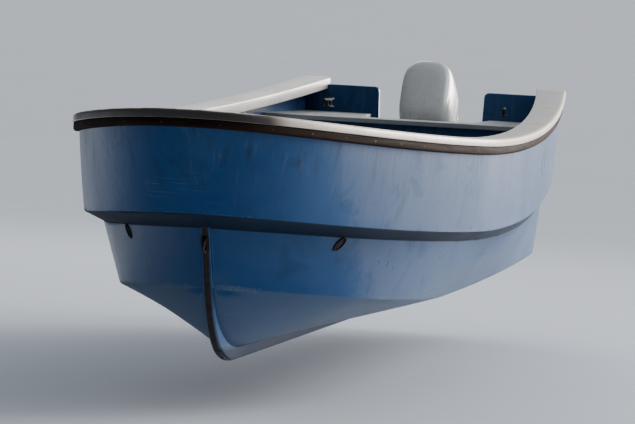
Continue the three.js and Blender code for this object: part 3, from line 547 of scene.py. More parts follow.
def motor_paint(f, colours, sizes):
    """Satin enamel on castings, with salt bloom, and bare metal at chipped edges."""
    base, cloud = tuple(colours.motor), f.noise(6.0, 6, 0.6)
    flaked = f.blend(f.step(f.noise(900, 1, 0.5), 0.6, 0.75, 0.0, 0.35),
                     f.blend(f.step(cloud, 0.35, 0.7, 0.0, 0.5), base, scaled(base, 1.45)),
                     toned(base, (0.5, 0.5, 0.5), 0.35))
    chips = f.step(f.hollows() + (f.noise(70, 5, 0.75) - 0.5) * 0.22, 0.555, 0.585)
    bloom = f.step(f.noise(22, 7, 0.68), 0.56, 0.72)
    colour = f.layered(
        flaked, sizes.wear,
        (chips, 0.8, (0.38, 0.38, 0.38)),
        (bloom, 0.40, (0.42, 0.43, 0.43)))
    rough = f.step(cloud, 0.3, 0.7, 0.30, 0.44) + bloom * 0.22 + chips * 0.1
    height = f.noise(130, 3, 0.6) * 0.25 - chips * 0.4
    return f.surface(colour, rough, f.bump(height, 0.0006, 0.5), metallic=chips * 0.8,
                     Coat_Weight=0.2, Coat_Roughness=0.22)


def cowl_plastic(f, colours, sizes):
    """Painted motor cover, glossy, with fine scratches and sun-chalked top."""
    base, cloud = tuple(colours.cowl), f.noise(4.5, 5, 0.6)
    clouded = f.blend(f.step(cloud, 0.35, 0.7, 0.0, 0.45), base, toned(base, (0.50, 0.49, 0.45), 0.3))
    scratch = f.step(f.noise(1.0, 3, 0.5, stretch=(14, 14, 240), turn=(0.3, 0.5, 0)), 0.66, 0.70)
    colour = f.layered(
        clouded, sizes.wear,
        (scratch, 0.40, scaled(base, 0.6)),
        # Painted shade: near-black in the concave crevices, found from the surface's curve.
        (f.step(f.hollows(), 0.49, 0.42), 0.7, (0.10, 0.10, 0.095)),
        (f.step(f.noise(1.0, 4, 0.6, stretch=(50, 50, 5)), 0.56, 0.74), 0.25, (0.30, 0.28, 0.24)))
    rough = f.step(cloud, 0.3, 0.7, 0.20, 0.34) + scratch * 0.2
    height = f.noise(200, 2, 0.5) * 0.05 - scratch * 0.2
    return f.surface(colour, rough, f.bump(height, 0.0006, 0.5), Coat_Weight=0.3, Coat_Roughness=0.12)


def propeller_metal(f, colours, sizes):
    """Cast alloy propeller, scratched round by sand, dull between its polished edges."""
    cloud = f.noise(24, 6, 0.65)
    clouded = f.blend(f.step(cloud, 0.38, 0.66), (0.30, 0.31, 0.32), (0.52, 0.53, 0.54))
    scratch = f.step(f.noise(1.0, 4, 0.6, stretch=(300, 30, 300)), 0.56, 0.68)
    pits = f.step(f.cells(260), 0.14, 0.05) * f.step(f.noise(40, 3, 0.6), 0.50, 0.60)
    colour = f.layered(
        clouded, sizes.wear,
        (scratch, 0.35, (0.66, 0.67, 0.68)),
        (pits, 0.6, (0.10, 0.09, 0.08)))
    rough = f.step(cloud, 0.3, 0.7, 0.28, 0.46) + pits * 0.2
    return f.surface(colour, rough, f.bump(scratch * 0.2 - pits * 0.6, 0.0004, 0.6), metallic=0.95)


def tiller_rubber(f, colours, sizes):
    """Black grip rubber, polished by hands on top and dusty in its grooves."""
    cloud = f.noise(20, 5, 0.6)
    clouded = f.blend(f.step(cloud, 0.38, 0.66), (0.014, 0.014, 0.015), (0.034, 0.034, 0.035))
    dust = f.step(f.hollows() - f.noise(50, 4, 0.6) * 0.04, 0.47, 0.42)
    colour = f.layered(clouded, sizes.wear, (dust, 0.5, (0.20, 0.19, 0.17)))
    return f.surface(colour, f.step(cloud, 0.3, 0.7, 0.44, 0.68), f.bump(f.noise(420, 3, 0.6), 0.0004, 0.5))


FINISHES = (hull_gelcoat, liner_gelcoat, deck_nonslip, cap_gelcoat, strake_timber, galvanised, strap_steel,
            pad_rubber, cleat_nylon, motor_paint, cowl_plastic, propeller_metal, tiller_rubber)


def finish(name):
    """The named finish, made when a piece first needs it."""
    made = bpy.data.materials.get("finished_" + name)
    if made:
        return made
    recipe = next(recipe for recipe in FINISHES if recipe.__name__ == name)
    scene = bpy.context.scene
    return recipe(Finish(bpy.data.materials.new("finished_" + name)), scene.skiff_colours, scene.skiff_sizes)


# Meshes.
def new_piece(name, part, finish_name, nodes=(), body="hull", angle=32, merge=1e-5):
    """A mesh of points and faces that rides on a body, takes a finish and stands for CAD nodes."""
    mesh = bpy.data.meshes.new(name)
    mesh.from_pydata([tuple(point) for point in part[0]], [], [tuple(face) for face in part[1]])
    piece = bpy.data.objects.new(name, mesh)
    bpy.context.scene.collection.objects.link(piece)
    weld(mesh, merge)
    mesh.materials.append(finish(finish_name))
    mesh.polygons.foreach_set("use_smooth", [True] * len(mesh.polygons))
    mesh.set_sharp_from_angle(angle=math.radians(angle))
    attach(piece, body)
    if nodes:
        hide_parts(*nodes)
    return piece


def weld(mesh, distance):
    work = bmesh.new()
    work.from_mesh(mesh)
    bmesh.ops.remove_doubles(work, verts=work.verts, dist=distance)
    bmesh.ops.dissolve_degenerate(work, edges=work.edges, dist=distance)
    bmesh.ops.recalc_face_normals(work, faces=work.faces)
    work.to_mesh(mesh)
    work.free()


def quarter(count):
    return np.linspace(0, math.pi / 2, count)


def full_turn(count):
    return np.linspace(0, 2 * math.pi, count, endpoint=False)


def lengths_along(path):
    return np.concatenate([[0], np.cumsum(np.linalg.norm(np.diff(path, axis=0), axis=1))])


def ways_along(path):
    along = np.gradient(path, axis=0)
    return along / np.linalg.norm(along, axis=1, keepdims=True)


def at_place(place, places, path):
    """The point of a path at a place along it."""
    return [np.interp(place, places, path[:, axis]) for axis in range(path.shape[1])]


def search_tree(points):
    tree = KDTree(len(points))
    for i, point in enumerate(points.tolist()):
        tree.insert(point, i)
    tree.balance()
    return tree


def swept(rings, ends=(True, True)):
    """Points and faces of a skin over closed rings of points, with or without its two end faces."""
    rings = np.asarray(rings, float)
    index = np.arange(rings.shape[0] * rings.shape[1]).reshape(rings.shape[:2])
    after = np.roll(index, -1, axis=1)
    faces = np.stack([index[:-1], after[:-1], after[1:], index[1:]], -1).reshape(-1, 4).tolist()
    if ends[0]:
        faces.append(index[0][::-1].tolist())
    if ends[1]:
        faces.append(index[-1].tolist())
    return rings.reshape(-1, 3), faces


def joined(*parts):
    """Several sets of points and faces as one."""
    points, faces, base = [], [], 0
    for some_points, some_faces in parts:
        points.append(np.asarray(some_points, float))
        faces.extend([[base + i for i in face] for face in some_faces])
        base += len(some_points)
    return np.concatenate(points), faces


def mirrored(points, faces):
    return points * np.array([1, -1, 1]), [face[::-1] for face in faces]


def arc_between(before, corner, after, cut, count):
    """A rounded corner of a chain of points, for all stations at once."""
    arms = [side - corner for side in (before, after)]
    ends = []
    for arm in arms:
        size = np.linalg.norm(arm, axis=-1, keepdims=True)
        ends.append(corner + arm * np.minimum(cut / np.maximum(size, 1e-9), 0.45))
    t = np.linspace(0, 1, count)[:, None, None]
    return (1 - t) ** 2 * ends[0] + 2 * t * (1 - t) * corner + t**2 * ends[1]


def rounded_chain(corners, cuts, spans, crowns):
    """A chain through corners, each an array over the stations, with round corners and slightly
    crowned panels. Returns stations by points, and which points lie in a corner."""
    arcs = [corners[0][None]]
    for i in range(1, len(corners) - 1):
        arcs.append(arc_between(*corners[i - 1:i + 2], cuts[i - 1], 5))
    arcs.append(corners[-1][None])
    chain, edge = [], []
    for i, bend in enumerate(arcs):
        chain.append(bend)
        edge.extend([0 < i < len(arcs) - 1] * len(bend))
        if i == len(arcs) - 1:
            break
        start, end = bend[-1], arcs[i + 1][0]
        along = np.gradient(start, axis=0)
        out = np.cross(end - start, along)
        out /= np.maximum(np.linalg.norm(out, axis=-1, keepdims=True), 1e-9)
        for t in np.arange(1, spans[i]) / spans[i]:
            chain.append((start + (end - start) * t + out * crowns[i] * 4 * t * (1 - t))[None])
            edge.append(False)
    return np.concatenate(chain).transpose(1, 0, 2), np.array(edge)


STATIONS = 170
RUNS = LENGTH * (np.arange(STATIONS + 1) / STATIONS) ** 1.9
PANEL_SPANS = (10, 3, 7, 9)
PANEL_CROWNS = (0.003, 0.0, 0.003, 0.006)


def hull_side(inset, cuts):
    names = ("gunwale", "knuckle", "step", "chine")
    corners = [line_at(name, RUNS, inset)[0] for name in names] + [rabbet_line(RUNS, inset)]
    return rounded_chain(corners, cuts, PANEL_SPANS, PANEL_CROWNS)


OUTER, EDGES = hull_side(0.0, (0.009, 0.008, 0.012))
INNER, _ = hull_side(SKIN, (0.020, 0.016, 0.030))


def section_at(x):
    """The inner skin's port half at a distance along the boat, from the gunwale down: Y and Z."""
    lines = INNER[::-1].transpose(1, 0, 2)
    return np.array([[np.interp(x, line[:, 0], line[:, axis]) for axis in (1, 2)] for line in lines])


def level_line(z, fore, aft):
    """The inner skin's port side at a height, from fore to aft: X and Y."""
    line = np.array([[np.interp(z, chain[::-1, 2], chain[::-1, axis]) for axis in (0, 1)] for chain in INNER])
    keep = line[(line[:, 0] < fore) & (line[:, 0] > aft)]
    first, last = ([x, np.interp(x, line[::-1, 0], line[::-1, 1])] for x in (fore, aft))
    if fore >= line[0, 0]:
        first = [line[0, 0], 0.0]
    return np.array([first, *keep.tolist(), last])


def both_sides(line):
    """An outline from a line along the port side and its mirror image."""
    return line.tolist() + (line * [1, -1])[::-1].tolist()


def rectangle(low, high):
    return [(low[0], low[1]), (high[0], low[1]), (high[0], high[1]), (low[0], high[1])]


def fillet(outline, radii, steps=6):
    """A flat outline with round corners. A radius of 0 keeps a corner sharp."""
    result = []
    count = len(outline)
    for i, corner in enumerate(outline):
        here = Vector(corner)
        radius = radii[i] if isinstance(radii, (list, tuple)) else radii
        before = Vector(outline[i - 1]) - here
        after = Vector(outline[(i + 1) % count]) - here
        if radius <= 0 or before.length < 1e-6 or after.length < 1e-6:
            result.append(tuple(here))
            continue
        half_angle = before.angle(after) / 2
        cut = min(radius / math.tan(half_angle), 0.49 * before.length, 0.49 * after.length)
        radius = cut * math.tan(half_angle)
        inwards = (before.normalized() + after.normalized()).normalized()
        middle = here + inwards * radius / math.sin(half_angle)
        first = here + before.normalized() * cut - middle
        sweep = first.angle_signed(here + after.normalized() * cut - middle)
        for step in range(steps + 1):
            turn = -sweep * step / steps
            x = first.x * math.cos(turn) - first.y * math.sin(turn)
            y = first.x * math.sin(turn) + first.y * math.cos(turn)
            result.append((middle.x + x, middle.y + y))
    return result


def slab(outline, low, high, place, open_middle=False):
    """A plate with a flat outline between two depths. Place turns an outline point and a depth into
    a point. With an open middle, edges on the boat's centre line get no side."""
    around = len(outline)
    points = [place(u, v, depth) for depth in (low, high) for u, v in outline]
    faces = []
    for i in range(around):
        k = (i + 1) % around
        if open_middle and abs(outline[i][1]) < 1e-6 and abs(outline[k][1]) < 1e-6:
            continue
        faces.append([i, k, around + k, around + i])
    return np.array(points), faces + [list(range(around))[::-1], list(range(around, 2 * around))]


def level(u, v, depth):
    return (u, v, depth)


def across(u, v, depth):
    return (depth, u, v)


def lengthwise(u, v, depth):
    return (u, depth, v)


def bevel(piece, width, segments=3, angle=40):
    """A rounded edge on every sharp edge, as real geometry."""
    modifier = piece.modifiers.new("edges", "BEVEL")
    modifier.width = width
    modifier.segments = segments
    modifier.limit_method = "ANGLE"
    modifier.angle_limit = math.radians(angle)
    modifier.harden_normals = True
    modifier.use_clamp_overlap = True
    return piece


def shell_ring(outer, inner):
    """A shell's closed ring at each station: down to port, up to starboard, and back inside."""
    over = np.array([1, -1, 1])
    return np.concatenate([outer, outer[:, ::-1] * over, inner * over, inner[:, ::-1]], axis=1)


def cut_at(grid, x):
    """A skin's grid with its last station moved forward to a distance along the boat."""
    share = (grid[-2, :, 0:1] - x) / (grid[-2, :, 0:1] - grid[-1, :, 0:1])
    return np.concatenate([grid[:-1], (grid[-2] + (grid[-1] - grid[-2]) * share)[None]])


def tube(path, radii, sides=16):
    """A round bar along a path of points, with a radius or one for each point."""
    path = np.array(path, float)
    radii = np.broadcast_to(np.asarray(radii, float), len(path))
    along = ways_along(path)
    side = Vector(along[0].tolist()).orthogonal().normalized()
    rings = []
    for point, way, radius in zip(path, along, radii):
        way = Vector(way.tolist())
        side = (side - way * side.dot(way)).normalized()
        lift = way.cross(side)
        rings.append([point + radius * (math.cos(a) * np.array(side) + math.sin(a) * np.array(lift))
                      for a in full_turn(sides)])
    return swept(rings)


def rounded_bar(start, end, radius, round_by=0.0015, sides=20):
    """A straight round bar with rounded ends."""
    start, end = np.array(start, float), np.array(end, float)
    way = (end - start) / np.linalg.norm(end - start)
    round_by = min(round_by, radius * 0.9)
    cap = [(round_by * (1 - math.sin(t)), radius - round_by * (1 - math.cos(t))) for t in quarter(4)[::-1]]
    path = [start + way * along for along, _ in cap] + [end - way * along for along, _ in cap[::-1]]
    return tube(path, [r for _, r in cap] + [r for _, r in cap[::-1]], sides)


def turned(profile, axis, middle=(0, 0, 0), sides=40):
    """A turned body: a profile of places along an axis and radii."""
    basis = Vector(axis).normalized()
    side = basis.orthogonal().normalized()
    way, side, lift = (np.array(v) for v in (basis, side, basis.cross(side)))
    rings = [[np.array(middle) + along * way + radius * (math.cos(a) * side + math.sin(a) * lift)
              for a in full_turn(sides)] for along, radius in profile]
    return swept(rings, ends=(profile[0][1] > 1e-6, profile[-1][1] > 1e-6))


def dome(middle, axis, radius, rise, sides=20):
    """A low round head, such as a bolt's."""
    profile = [(-0.001, radius)] + [(rise * math.sin(t), radius * math.cos(t)) for t in quarter(5)]
    return turned(profile, axis, middle, sides)


def block(low, high, radius):
    """A block between two corners, with its four upright edges rounded."""
    return slab(fillet(rectangle(low, high), radius), low[2], high[2], level)


def sloped(part, matrix):
    return np.array([matrix @ Vector(p) for p in part[0].tolist()]), part[1]


# Hull, transom and keel.
def build_hull_shell():
    flange = forward(LENGTH) + TRANSOM["flange"]
    outer, inner = cut_at(OUTER, flange), cut_at(INNER, flange)
    rings = shell_ring(outer, inner)
    points, faces = swept(rings, ends=(False, False))
    around, half = rings.shape[1], outer.shape[1]
    last = (len(rings) - 1) * around
    strips = ((0, 2 * half - 1), (2 * half, 4 * half - 1),
              (last, last + around - 1), (last + half, last + 3 * half - 1))
    for j in range(half - 1):
        for start, end in strips:
            faces.append([start + j, start + j + 1, end - 1 - j, end - j])
    faces.append([last + half - 1, last + half, last + 3 * half - 1, last + 3 * half])
    piece = new_piece("hull_shell_moulding", (points, faces), "hull_gelcoat", ["hull_shell"], angle=38)
    mark_edges(piece, outer)
    return piece


def mark_edges(piece, outer):
    """Stores how near each point lies to the knuckle, step or chine, for the wear there."""
    tree = search_tree(outer[:, EDGES].reshape(-1, 3))
    layer = piece.data.attributes.new("worn_edge", "FLOAT", "POINT")
    for i, vertex in enumerate(piece.data.vertices):
        place = (vertex.co.x, abs(vertex.co.y), vertex.co.z)
        layer.data[i].value = max(0.0, 1 - tree.find(place)[2] / WORN_REACH)


def transom_outline(side, cut):
    """The transom's outline, moved in by distances along the hull and along its cut-out: Y and Z."""
    chain = (OUTER[-1] + (INNER[-1] - OUTER[-1]) * side / SKIN)[:, 1:]
    top = chain[0, 1] - cut
    chain[0, 1] = top
    port = [tuple(p) for p in chain]
    opening = [(TRANSOM["cut_top"] - 0.003 + cut, top),
               (TRANSOM["cut_sill"] + cut, above(TRANSOM["sill"]) - cut)]
    corners = [(-y, z) for y, z in opening] + opening[::-1]
    radii = [0] * (2 * len(port)) + [0.026 - cut, 0.060 + cut, 0.060 + cut, 0.026 - cut]
    return fillet(port + [(-y, z) for y, z in port][::-1] + corners, radii, 8)


def build_transom():
    """From its rounded outer edge over the shell's end to its inner face between the skins."""
    stern, outer_round, inner_round, between = forward(LENGTH), 0.008, 0.006, SKIN * 0.9
    flange, front = stern + TRANSOM["flange"], stern + TRANSOM["thick"]
    levels = []
    for t in quarter(6):
        gone = outer_round * (1 - math.sin(t))
        levels.append((stern + outer_round * (1 - math.cos(t)), gone, gone))
    levels += [(flange, 0.0, 0.0), (flange, between, 0.0)]
    levels += [(front - inner_round * (1 - math.sin(t)), between, inner_round * (1 - math.cos(t)))
               for t in quarter(5)]
    rings = [[(x, y, z) for y, z in transom_outline(side, cut)] for x, side, cut in levels]
    return new_piece("transom_moulding", swept(rings), "hull_gelcoat", ["transom"], angle=40)


def keel_path(run):
    """The stem's and keel's outer edge, and their seat on the hull, for runs from the bow: aft and up."""
    aft = aft_of(run, LINES["chine"])
    curve = [KEEL[name] for name in ("bend", "corner", "foot")]
    outer_aft, outer_up = bend_through(curve, rabbet_share(aft))
    past = aft >= RABBET["foot"][0]
    outer = np.stack([np.where(past, aft, outer_aft), np.where(past, 0.0, outer_up)], -1)
    seat = np.stack([aft, rabbet_up(aft)], -1)
    straight = np.linspace(-KEEL_HALF["let_in"], 1, 12)[:-1, None]
    stem = [np.array(line["top"]) + straight * (np.array(line["bend"]) - np.array(line["top"]))
            for line in (KEEL, RABBET)]
    return np.concatenate([stem[0], outer]), np.concatenate([stem[1], seat])


def build_keel():
    rings = []
    for (aft, up), (seat_aft, seat_up) in zip(*keel_path(LENGTH * np.linspace(0, 1, 150) ** 1.7)):
        half = float(keel_half(seat_aft))
        low = np.interp(half, [KEEL_HALF[end] for end in ("stem", "aft")],
                        [KEEL_HALF[end] for end in ("low_stem", "low_aft")])
        edge, seat = np.array([forward(aft), above(up)]), np.array([forward(seat_aft), above(seat_up)])
        way = (edge - seat) / np.linalg.norm(edge - seat)
        if aft < LENGTH - 1e-6:
            seat = seat - way * KEEL_HALF["into_skin"]
        deep = np.linalg.norm(edge - seat)
        round_by = KEEL_HALF["round"]
        outline = fillet([(half, 0), (low, deep), (-low, deep), (-half, 0)], [0, round_by, round_by, 0], 5)
        rings.append([(seat[0] + way[0] * d, y, seat[1] + way[1] * d) for y, d in outline])
    return new_piece("keel_and_stem", swept(rings), "hull_gelcoat", ["keel"], angle=45)


STEM_BAND = {"half": 0.013, "thick": 0.0042, "last_run": 1.856, "screw_pitch": 0.16,
             "screw": (0.0052, 0.0006)}


def build_stem_band():
    edges, _ = keel_path(STEM_BAND["last_run"] * np.linspace(0, 1, 60) ** 1.3)
    path = np.stack([forward(edges[:, 0]), above(edges[:, 1])], -1)
    out = ways_along(path)[:, ::-1] * [-1, 1]
    if out[0, 0] < 0:
        out = -out
    half, thick = STEM_BAND["half"], STEM_BAND["thick"]
    side = [(half, -0.001), (half, thick * 0.45), (half * 0.86, thick * 0.8), (half * 0.5, thick)]
    section = side + [(-y, d) for y, d in side[::-1]]
    rings = [[(p[0] + n[0] * (FIT + d), y, p[1] + n[1] * (FIT + d)) for y, d in section]
             for p, n in zip(path, out)]
    parts = [swept(rings)]
    lengths, lift = lengths_along(path), thick + FIT
    for place in np.arange(0.05, lengths[-1], STEM_BAND["screw_pitch"]):
        (x, z), (nx, nz) = at_place(place, lengths, path), at_place(place, lengths, out)
        parts.append(dome((x + nx * lift, 0, z + nz * lift), (nx, 0, nz), *STEM_BAND["screw"], 14))
    return new_piece("stem_strap", joined(*parts), "strap_steel", ["stem_band"], angle=50)


# Rails, each one length from the port quarter round the bow to the starboard quarter.
CAP = {"outboard": 0.0293, "thick": 0.038, "bow_width": 0.080, "stern_width": 0.128, "lip": 0.016,
       "drop": 0.022}
STRAKE = {"outboard": 0.025, "tall": 0.038, "screw_up": 0.019, "screw": (0.0055, 0.0016), "sunk": 0.0006}


def rail_rings(section_for):
    """Rings of a rail round the whole boat, its end faces drawn in a little."""
    line, out = line_at("gunwale", RUNS)
    port = np.array([[[point[0] + u * way[0], max(point[1] + u * way[1], 0.0), point[2] + rise, u]
                      for u, rise in section_for(run)] for run, point, way in zip(RUNS, line, out)])
    last = port[-1].copy()
    drawn = last.copy()
    drawn[:, 1:3] += (last[:, 1:3].mean(axis=0) - last[:, 1:3]) * 0.06
    last[:, 0] += 0.003
    port = np.concatenate([port[:-1], last[None], drawn[None]])
    starboard = port[1:].copy()
    starboard[:, :, 1] *= -1
    return np.concatenate([port[::-1], starboard])


def cap_section(run):
    width = CAP["bow_width"] + (CAP["stern_width"] - CAP["bow_width"]) * run / LENGTH
    out, thick, drop, lip = CAP["outboard"], CAP["thick"], -CAP["drop"], CAP["lip"] - width
    return fillet([(out, FIT), (out, thick), (-width, thick), (-width, drop), (lip, drop), (lip, FIT)],
                  [0.004, 0.015, 0.012, 0.004, 0.004, 0.006], 5)


def strake_section(_):
    out, tall = STRAKE["outboard"], STRAKE["tall"]
    slope = (LINES["gunwale"]["half"] - LINES["knuckle"]["half"]) / BAND["height"]
    return fillet([(-0.002, -FIT), (out, -FIT), (out, -tall), (-0.002 - slope * tall, -tall)],
                  [0, 0.006, 0.011, 0], 5)


def rail_piece(name, section_for, finish_name, side_nodes):
    """A rail with the distance along it and across it stored for its grain."""
    rings = rail_rings(section_for)
    nodes = [side_nodes + side for side in ("_port", "_starboard")]
    piece = new_piece(name, swept(rings[:, :, :3]), finish_name, nodes, angle=50, merge=1e-6)
    middle = rings[:, 0, :3]
    run, tree = lengths_along(middle), search_tree(middle)
    layer = piece.data.attributes.new("lay", "FLOAT_VECTOR", "POINT")
    for i, vertex in enumerate(piece.data.vertices):
        _, nearest, distance = tree.find(vertex.co)
        layer.data[i].vector = (run[nearest], distance, vertex.co.z - middle[nearest, 2])
    return piece


def build_rails(sizes):
    rail_piece("gunwale_cap", cap_section, "cap_gelcoat", "gunwale_cap")
    rail_piece("rub_strake", strake_section, "strake_timber", "rub_strake")
    line, out = line_at("gunwale", RUNS)
    run, reach = lengths_along(line[:, :2]), STRAKE["outboard"] - STRAKE["sunk"]
    parts = []
    for place in np.arange(0.12, run[-1], sizes.screw_pitch):
        (x, y, z), (nx, ny) = at_place(place, run, line), at_place(place, run, out)
        for side in (1, -1):
            parts.append(dome((x + nx * reach, side * (y + ny * reach), z - STRAKE["screw_up"]),
                              (nx, side * ny, 0), *STRAKE["screw"], 12))
    new_piece("rub_strake_screws", joined(*parts), "strap_steel", angle=50)


# Decks, bulkheads, thwarts and frames, each fitted to the inner skin and let 3 mm into it.
LET_IN = 0.003


def build_sole():
    fore = forward(FOREDECK["end"] - FOREDECK["overhang"]) - FIT
    aft, top = forward(AFT_DECK["from"] + AFT_DECK["overhang"]), above(SOLE["top"])
    line = level_line(top - SOLE["thick"] / 2, fore, aft) + [0, LET_IN]
    board = slab(both_sides(line), top - SOLE["thick"], top, level)
    return new_piece("sole_board", board, "deck_nonslip", ["sole"])


def deck_moulding(node, deck, outline, sizes):
    """A deck from the plan of its port half, its edges rounded."""
    top = above(deck["top"])
    side = slab(outline, top - deck["thick"], top, level, open_middle=True)
    piece = new_piece(node + "_moulding", joined(side, mirrored(*side)), "deck_nonslip", [node])
    return bevel(piece, sizes.edge_round)


def build_foredeck(sizes):
    aft = forward(FOREDECK["end"])
    line = level_line(above(FOREDECK["top"]) - FOREDECK["thick"] / 2, AMIDSHIPS, aft) + [0, LET_IN]
    line[0, 1] = 0
    hatch_aft, hatch_fore, half = forward(HATCH["to"]), forward(HATCH["from"]), HATCH["half"]
    opening = [[hatch_aft, 0], [hatch_aft, half], [hatch_fore, half], [hatch_fore, 0]]
    outline = fillet(line.tolist() + [[aft, 0]] + opening, [0] * (len(line) + 2) + [0.030, 0.030, 0])
    return deck_moulding("foredeck", FOREDECK, outline, sizes)


def well_plan(inset, radius=0.050):
    """Half of the splash well's plan, from the transom forward to the middle: X and Y."""
    aft, fore = forward(LENGTH - TRANSOM["thick"]) + FIT, forward(WELL["from"]) - inset
    half = WELL["half"] - inset
    return fillet([(aft, half), (fore, half), (fore, 0)], [0, radius, 0], 8)


def build_aft_deck(sizes):
    fore, aft = forward(AFT_DECK["from"]), forward(LENGTH - TRANSOM["thick"]) + FIT
    line = level_line(above(AFT_DECK["top"]) - AFT_DECK["thick"] / 2, fore, aft) + [0, LET_IN]
    outline = line.tolist() + [list(p) for p in well_plan(0.0)] + [[fore, 0]]
    return deck_moulding("aft_deck", AFT_DECK, outline, sizes)


def build_splash_well():
    top, floor, wall = above(AFT_DECK["top"] - AFT_DECK["thick"]) - FIT, above(WELL["floor"]), WELL["wall"]
    cove = 0.030
    levels = [(0.0, top)] + [(cove * (1 - math.cos(t)), floor + cove * (1 - math.sin(t))) for t in quarter(6)]
    far = well_plan(-wall, 0.064)
    back = far + [(x, -y) for x, y in far[::-1][1:]]
    rings = []
    for inset, z in levels:
        near = well_plan(inset, 0.050 - inset * 0.6)
        chain = near + [(x, -y) for x, y in near[::-1][1:]]
        low = z if z > floor + cove else floor - wall + (z - floor) * 0.98
        rings.append([(x, y, z) for x, y in chain] + [(x, y, low) for x, y in back[::-1]])
    points, faces = swept(rings, ends=(True, False))
    count = len(rings[0])
    half, last = count // 2, (len(rings) - 1) * count
    faces.append([last + i for i in range(half)])
    faces.append([last + i for i in range(half, count)])
    faces.append([last, last + half - 1, last + half, last + count - 1])
    return new_piece("splash_well_tub", (points, faces), "liner_gelcoat", ["splash_well"], angle=40)


def build_bulkhead(node, fore_aft, under):
    """A panel across the hull at a distance aft, up to the underside of a deck."""
    fore, top = forward(fore_aft), above(under["top"] - under["thick"]) - FIT
    section = section_at(fore - PANEL / 2)
    y_top = float(np.interp(top, section[::-1, 1], section[::-1, 0])) + LET_IN
    port = [(y_top, top)] + [(y + LET_IN, z) for y, z in section if z < top]
    outline = port + [(-y, z) for y, z in port[::-1]]
    return new_piece(node + "_panel", slab(outline, fore - PANEL, fore, across), "hull_gelcoat", [node])


def build_thwart(name, sizes):
    start, end = THWARTS[name]
    top, thick = above(THWART["top"]), THWART["thick"]
    line = level_line(top - thick / 2, forward(start), forward(end)) + [0, LET_IN]
    seat = slab(both_sides(line[[0, -1]]), top - thick, top, level)
    bevel(new_piece(name + "_seat", seat, "liner_gelcoat", [name]), sizes.edge_round * 2.5, 5)
    middle, floor, under = forward((start + end) / 2), above(SOLE["top"]) + FIT, top - thick - FIT
    half, foot = THWART["post_half"], THWART["post_half"] + 0.014
    post = joined(block((middle - half, -half, floor), (middle + half, half, under), 0.012),
                  block((middle - foot, -foot, floor), (middle + foot, foot, floor + 0.008), 0.020))
    node = name.replace("thwart", "thwart_post")
    bevel(new_piece(node + "_box", post, "liner_gelcoat", [node]), 0.003)


def frame_hat(aft):
    """One frame's hat section, bent round the inner skin from the sole up."""
    half, deep = FRAMES["wide"] / 2, FRAMES["deep"]
    hat = [(-half - 0.016, -0.002), (-half - 0.014, 0.0012), (-half - 0.003, 0.0025), (-half + 0.001, 0.006),
           (-half + 0.004, deep - 0.005), (-half + 0.006, deep - 0.001), (-half + 0.011, deep)]
    floor = above(SOLE["top"]) + FIT
    strips = []
    for s, d in hat + [(-s, d) for s, d in hat[::-1]]:
        section = section_at(forward(aft) + s)
        z = np.concatenate([section[section[:, 1] > floor, 1], [floor]])
        chain = np.stack([np.interp(z, section[::-1, 1], section[::-1, 0]), z], -1)
        shares, order = lengths_along(chain), np.arange(len(chain))
        shares = np.interp(np.linspace(0, 1, FRAMES["steps"]), shares / shares[-1], order)
        chain = np.stack(at_place(shares, order, chain), -1)
        strips.append([(forward(aft) + s, y + v * d, z - u * d)
                       for (y, z), (u, v) in zip(chain, ways_along(chain))])
    return swept(np.array(strips).transpose(1, 0, 2))


def build_side_frames():
    high = above(THWART["top"]) - THWART["thick"] - FIT
    low, deep = high + FIT - RISER["tall"], RISER["deep"]
    heights = np.linspace(low, high, RISER["steps"])
    rings = []
    for x in np.linspace(forward(FOREDECK["end"] + 0.005), forward(AFT_DECK["from"] - 0.005), 90):
        section = section_at(x)[::-1]
        back = [(float(np.interp(z, section[:, 1], section[:, 0])), z) for z in heights]
        front = [(back[-1][0] - deep, high), (back[0][0] - deep, low)]
        outline = fillet([(y + LET_IN, z) for y, z in back] + front, [0] * len(back) + [0.008, 0.008], 4)
        rings.append([(x, y, z) for y, z in outline])
    port = joined(swept(rings), *(frame_hat(aft) for aft in FRAMES["places"]))
    for side, part in (("port", port), ("starboard", mirrored(*port))):
        new_piece("side_frames_" + side + "_hats", part, "liner_gelcoat", ["side_frames_" + side], angle=40)


# Fittings.
HINGE = {"half": 0.110, "radius": 0.0085, "behind": 0.014, "up": 0.012, "leaf": (0.006, 0.050, 0.004),
         "knuckles": 5, "screws": (-0.085, -0.028, 0.028, 0.085), "end": 0.010}
LATCH = {"fore": 0.060, "key": (0.011, 0.0028),
         "rim": ((0.0, 0.017), (0.0012, 0.0165), (0.0016, 0.014), (0.0006, 0.0125), (0.0004, 0.0))}
BOW_EYE = {"up": 0.545, "bar": 0.007, "reach": 0.046, "span": 0.026, "base": (0.036, 0.019, 0.006)}
SCUPPER = {"station": 6, "stations": 26, "crowding": 1.6, "along": 0.35, "share": 0.12, "slant": 38,
           "long": 0.092, "tall": 0.042, "screw": (0.0022, 0.0008)}
CLEAT = {"half": 0.095, "base": (0.048, 0.019, 0.006), "post": (0.026, 0.009),
         "horn": (0.036, 0.042, 0.010, 0.006), "screw": (0.0035, 0.001)}
CLEATS = {
    "bow_cleat": (0.330, 0.0, 0.800, 0.0),
    "quarter_cleat_port": (5.850, 0.470, 0.985, 0.1),
    "quarter_cleat_starboard": (5.850, -0.470, 0.985, -0.1),
}


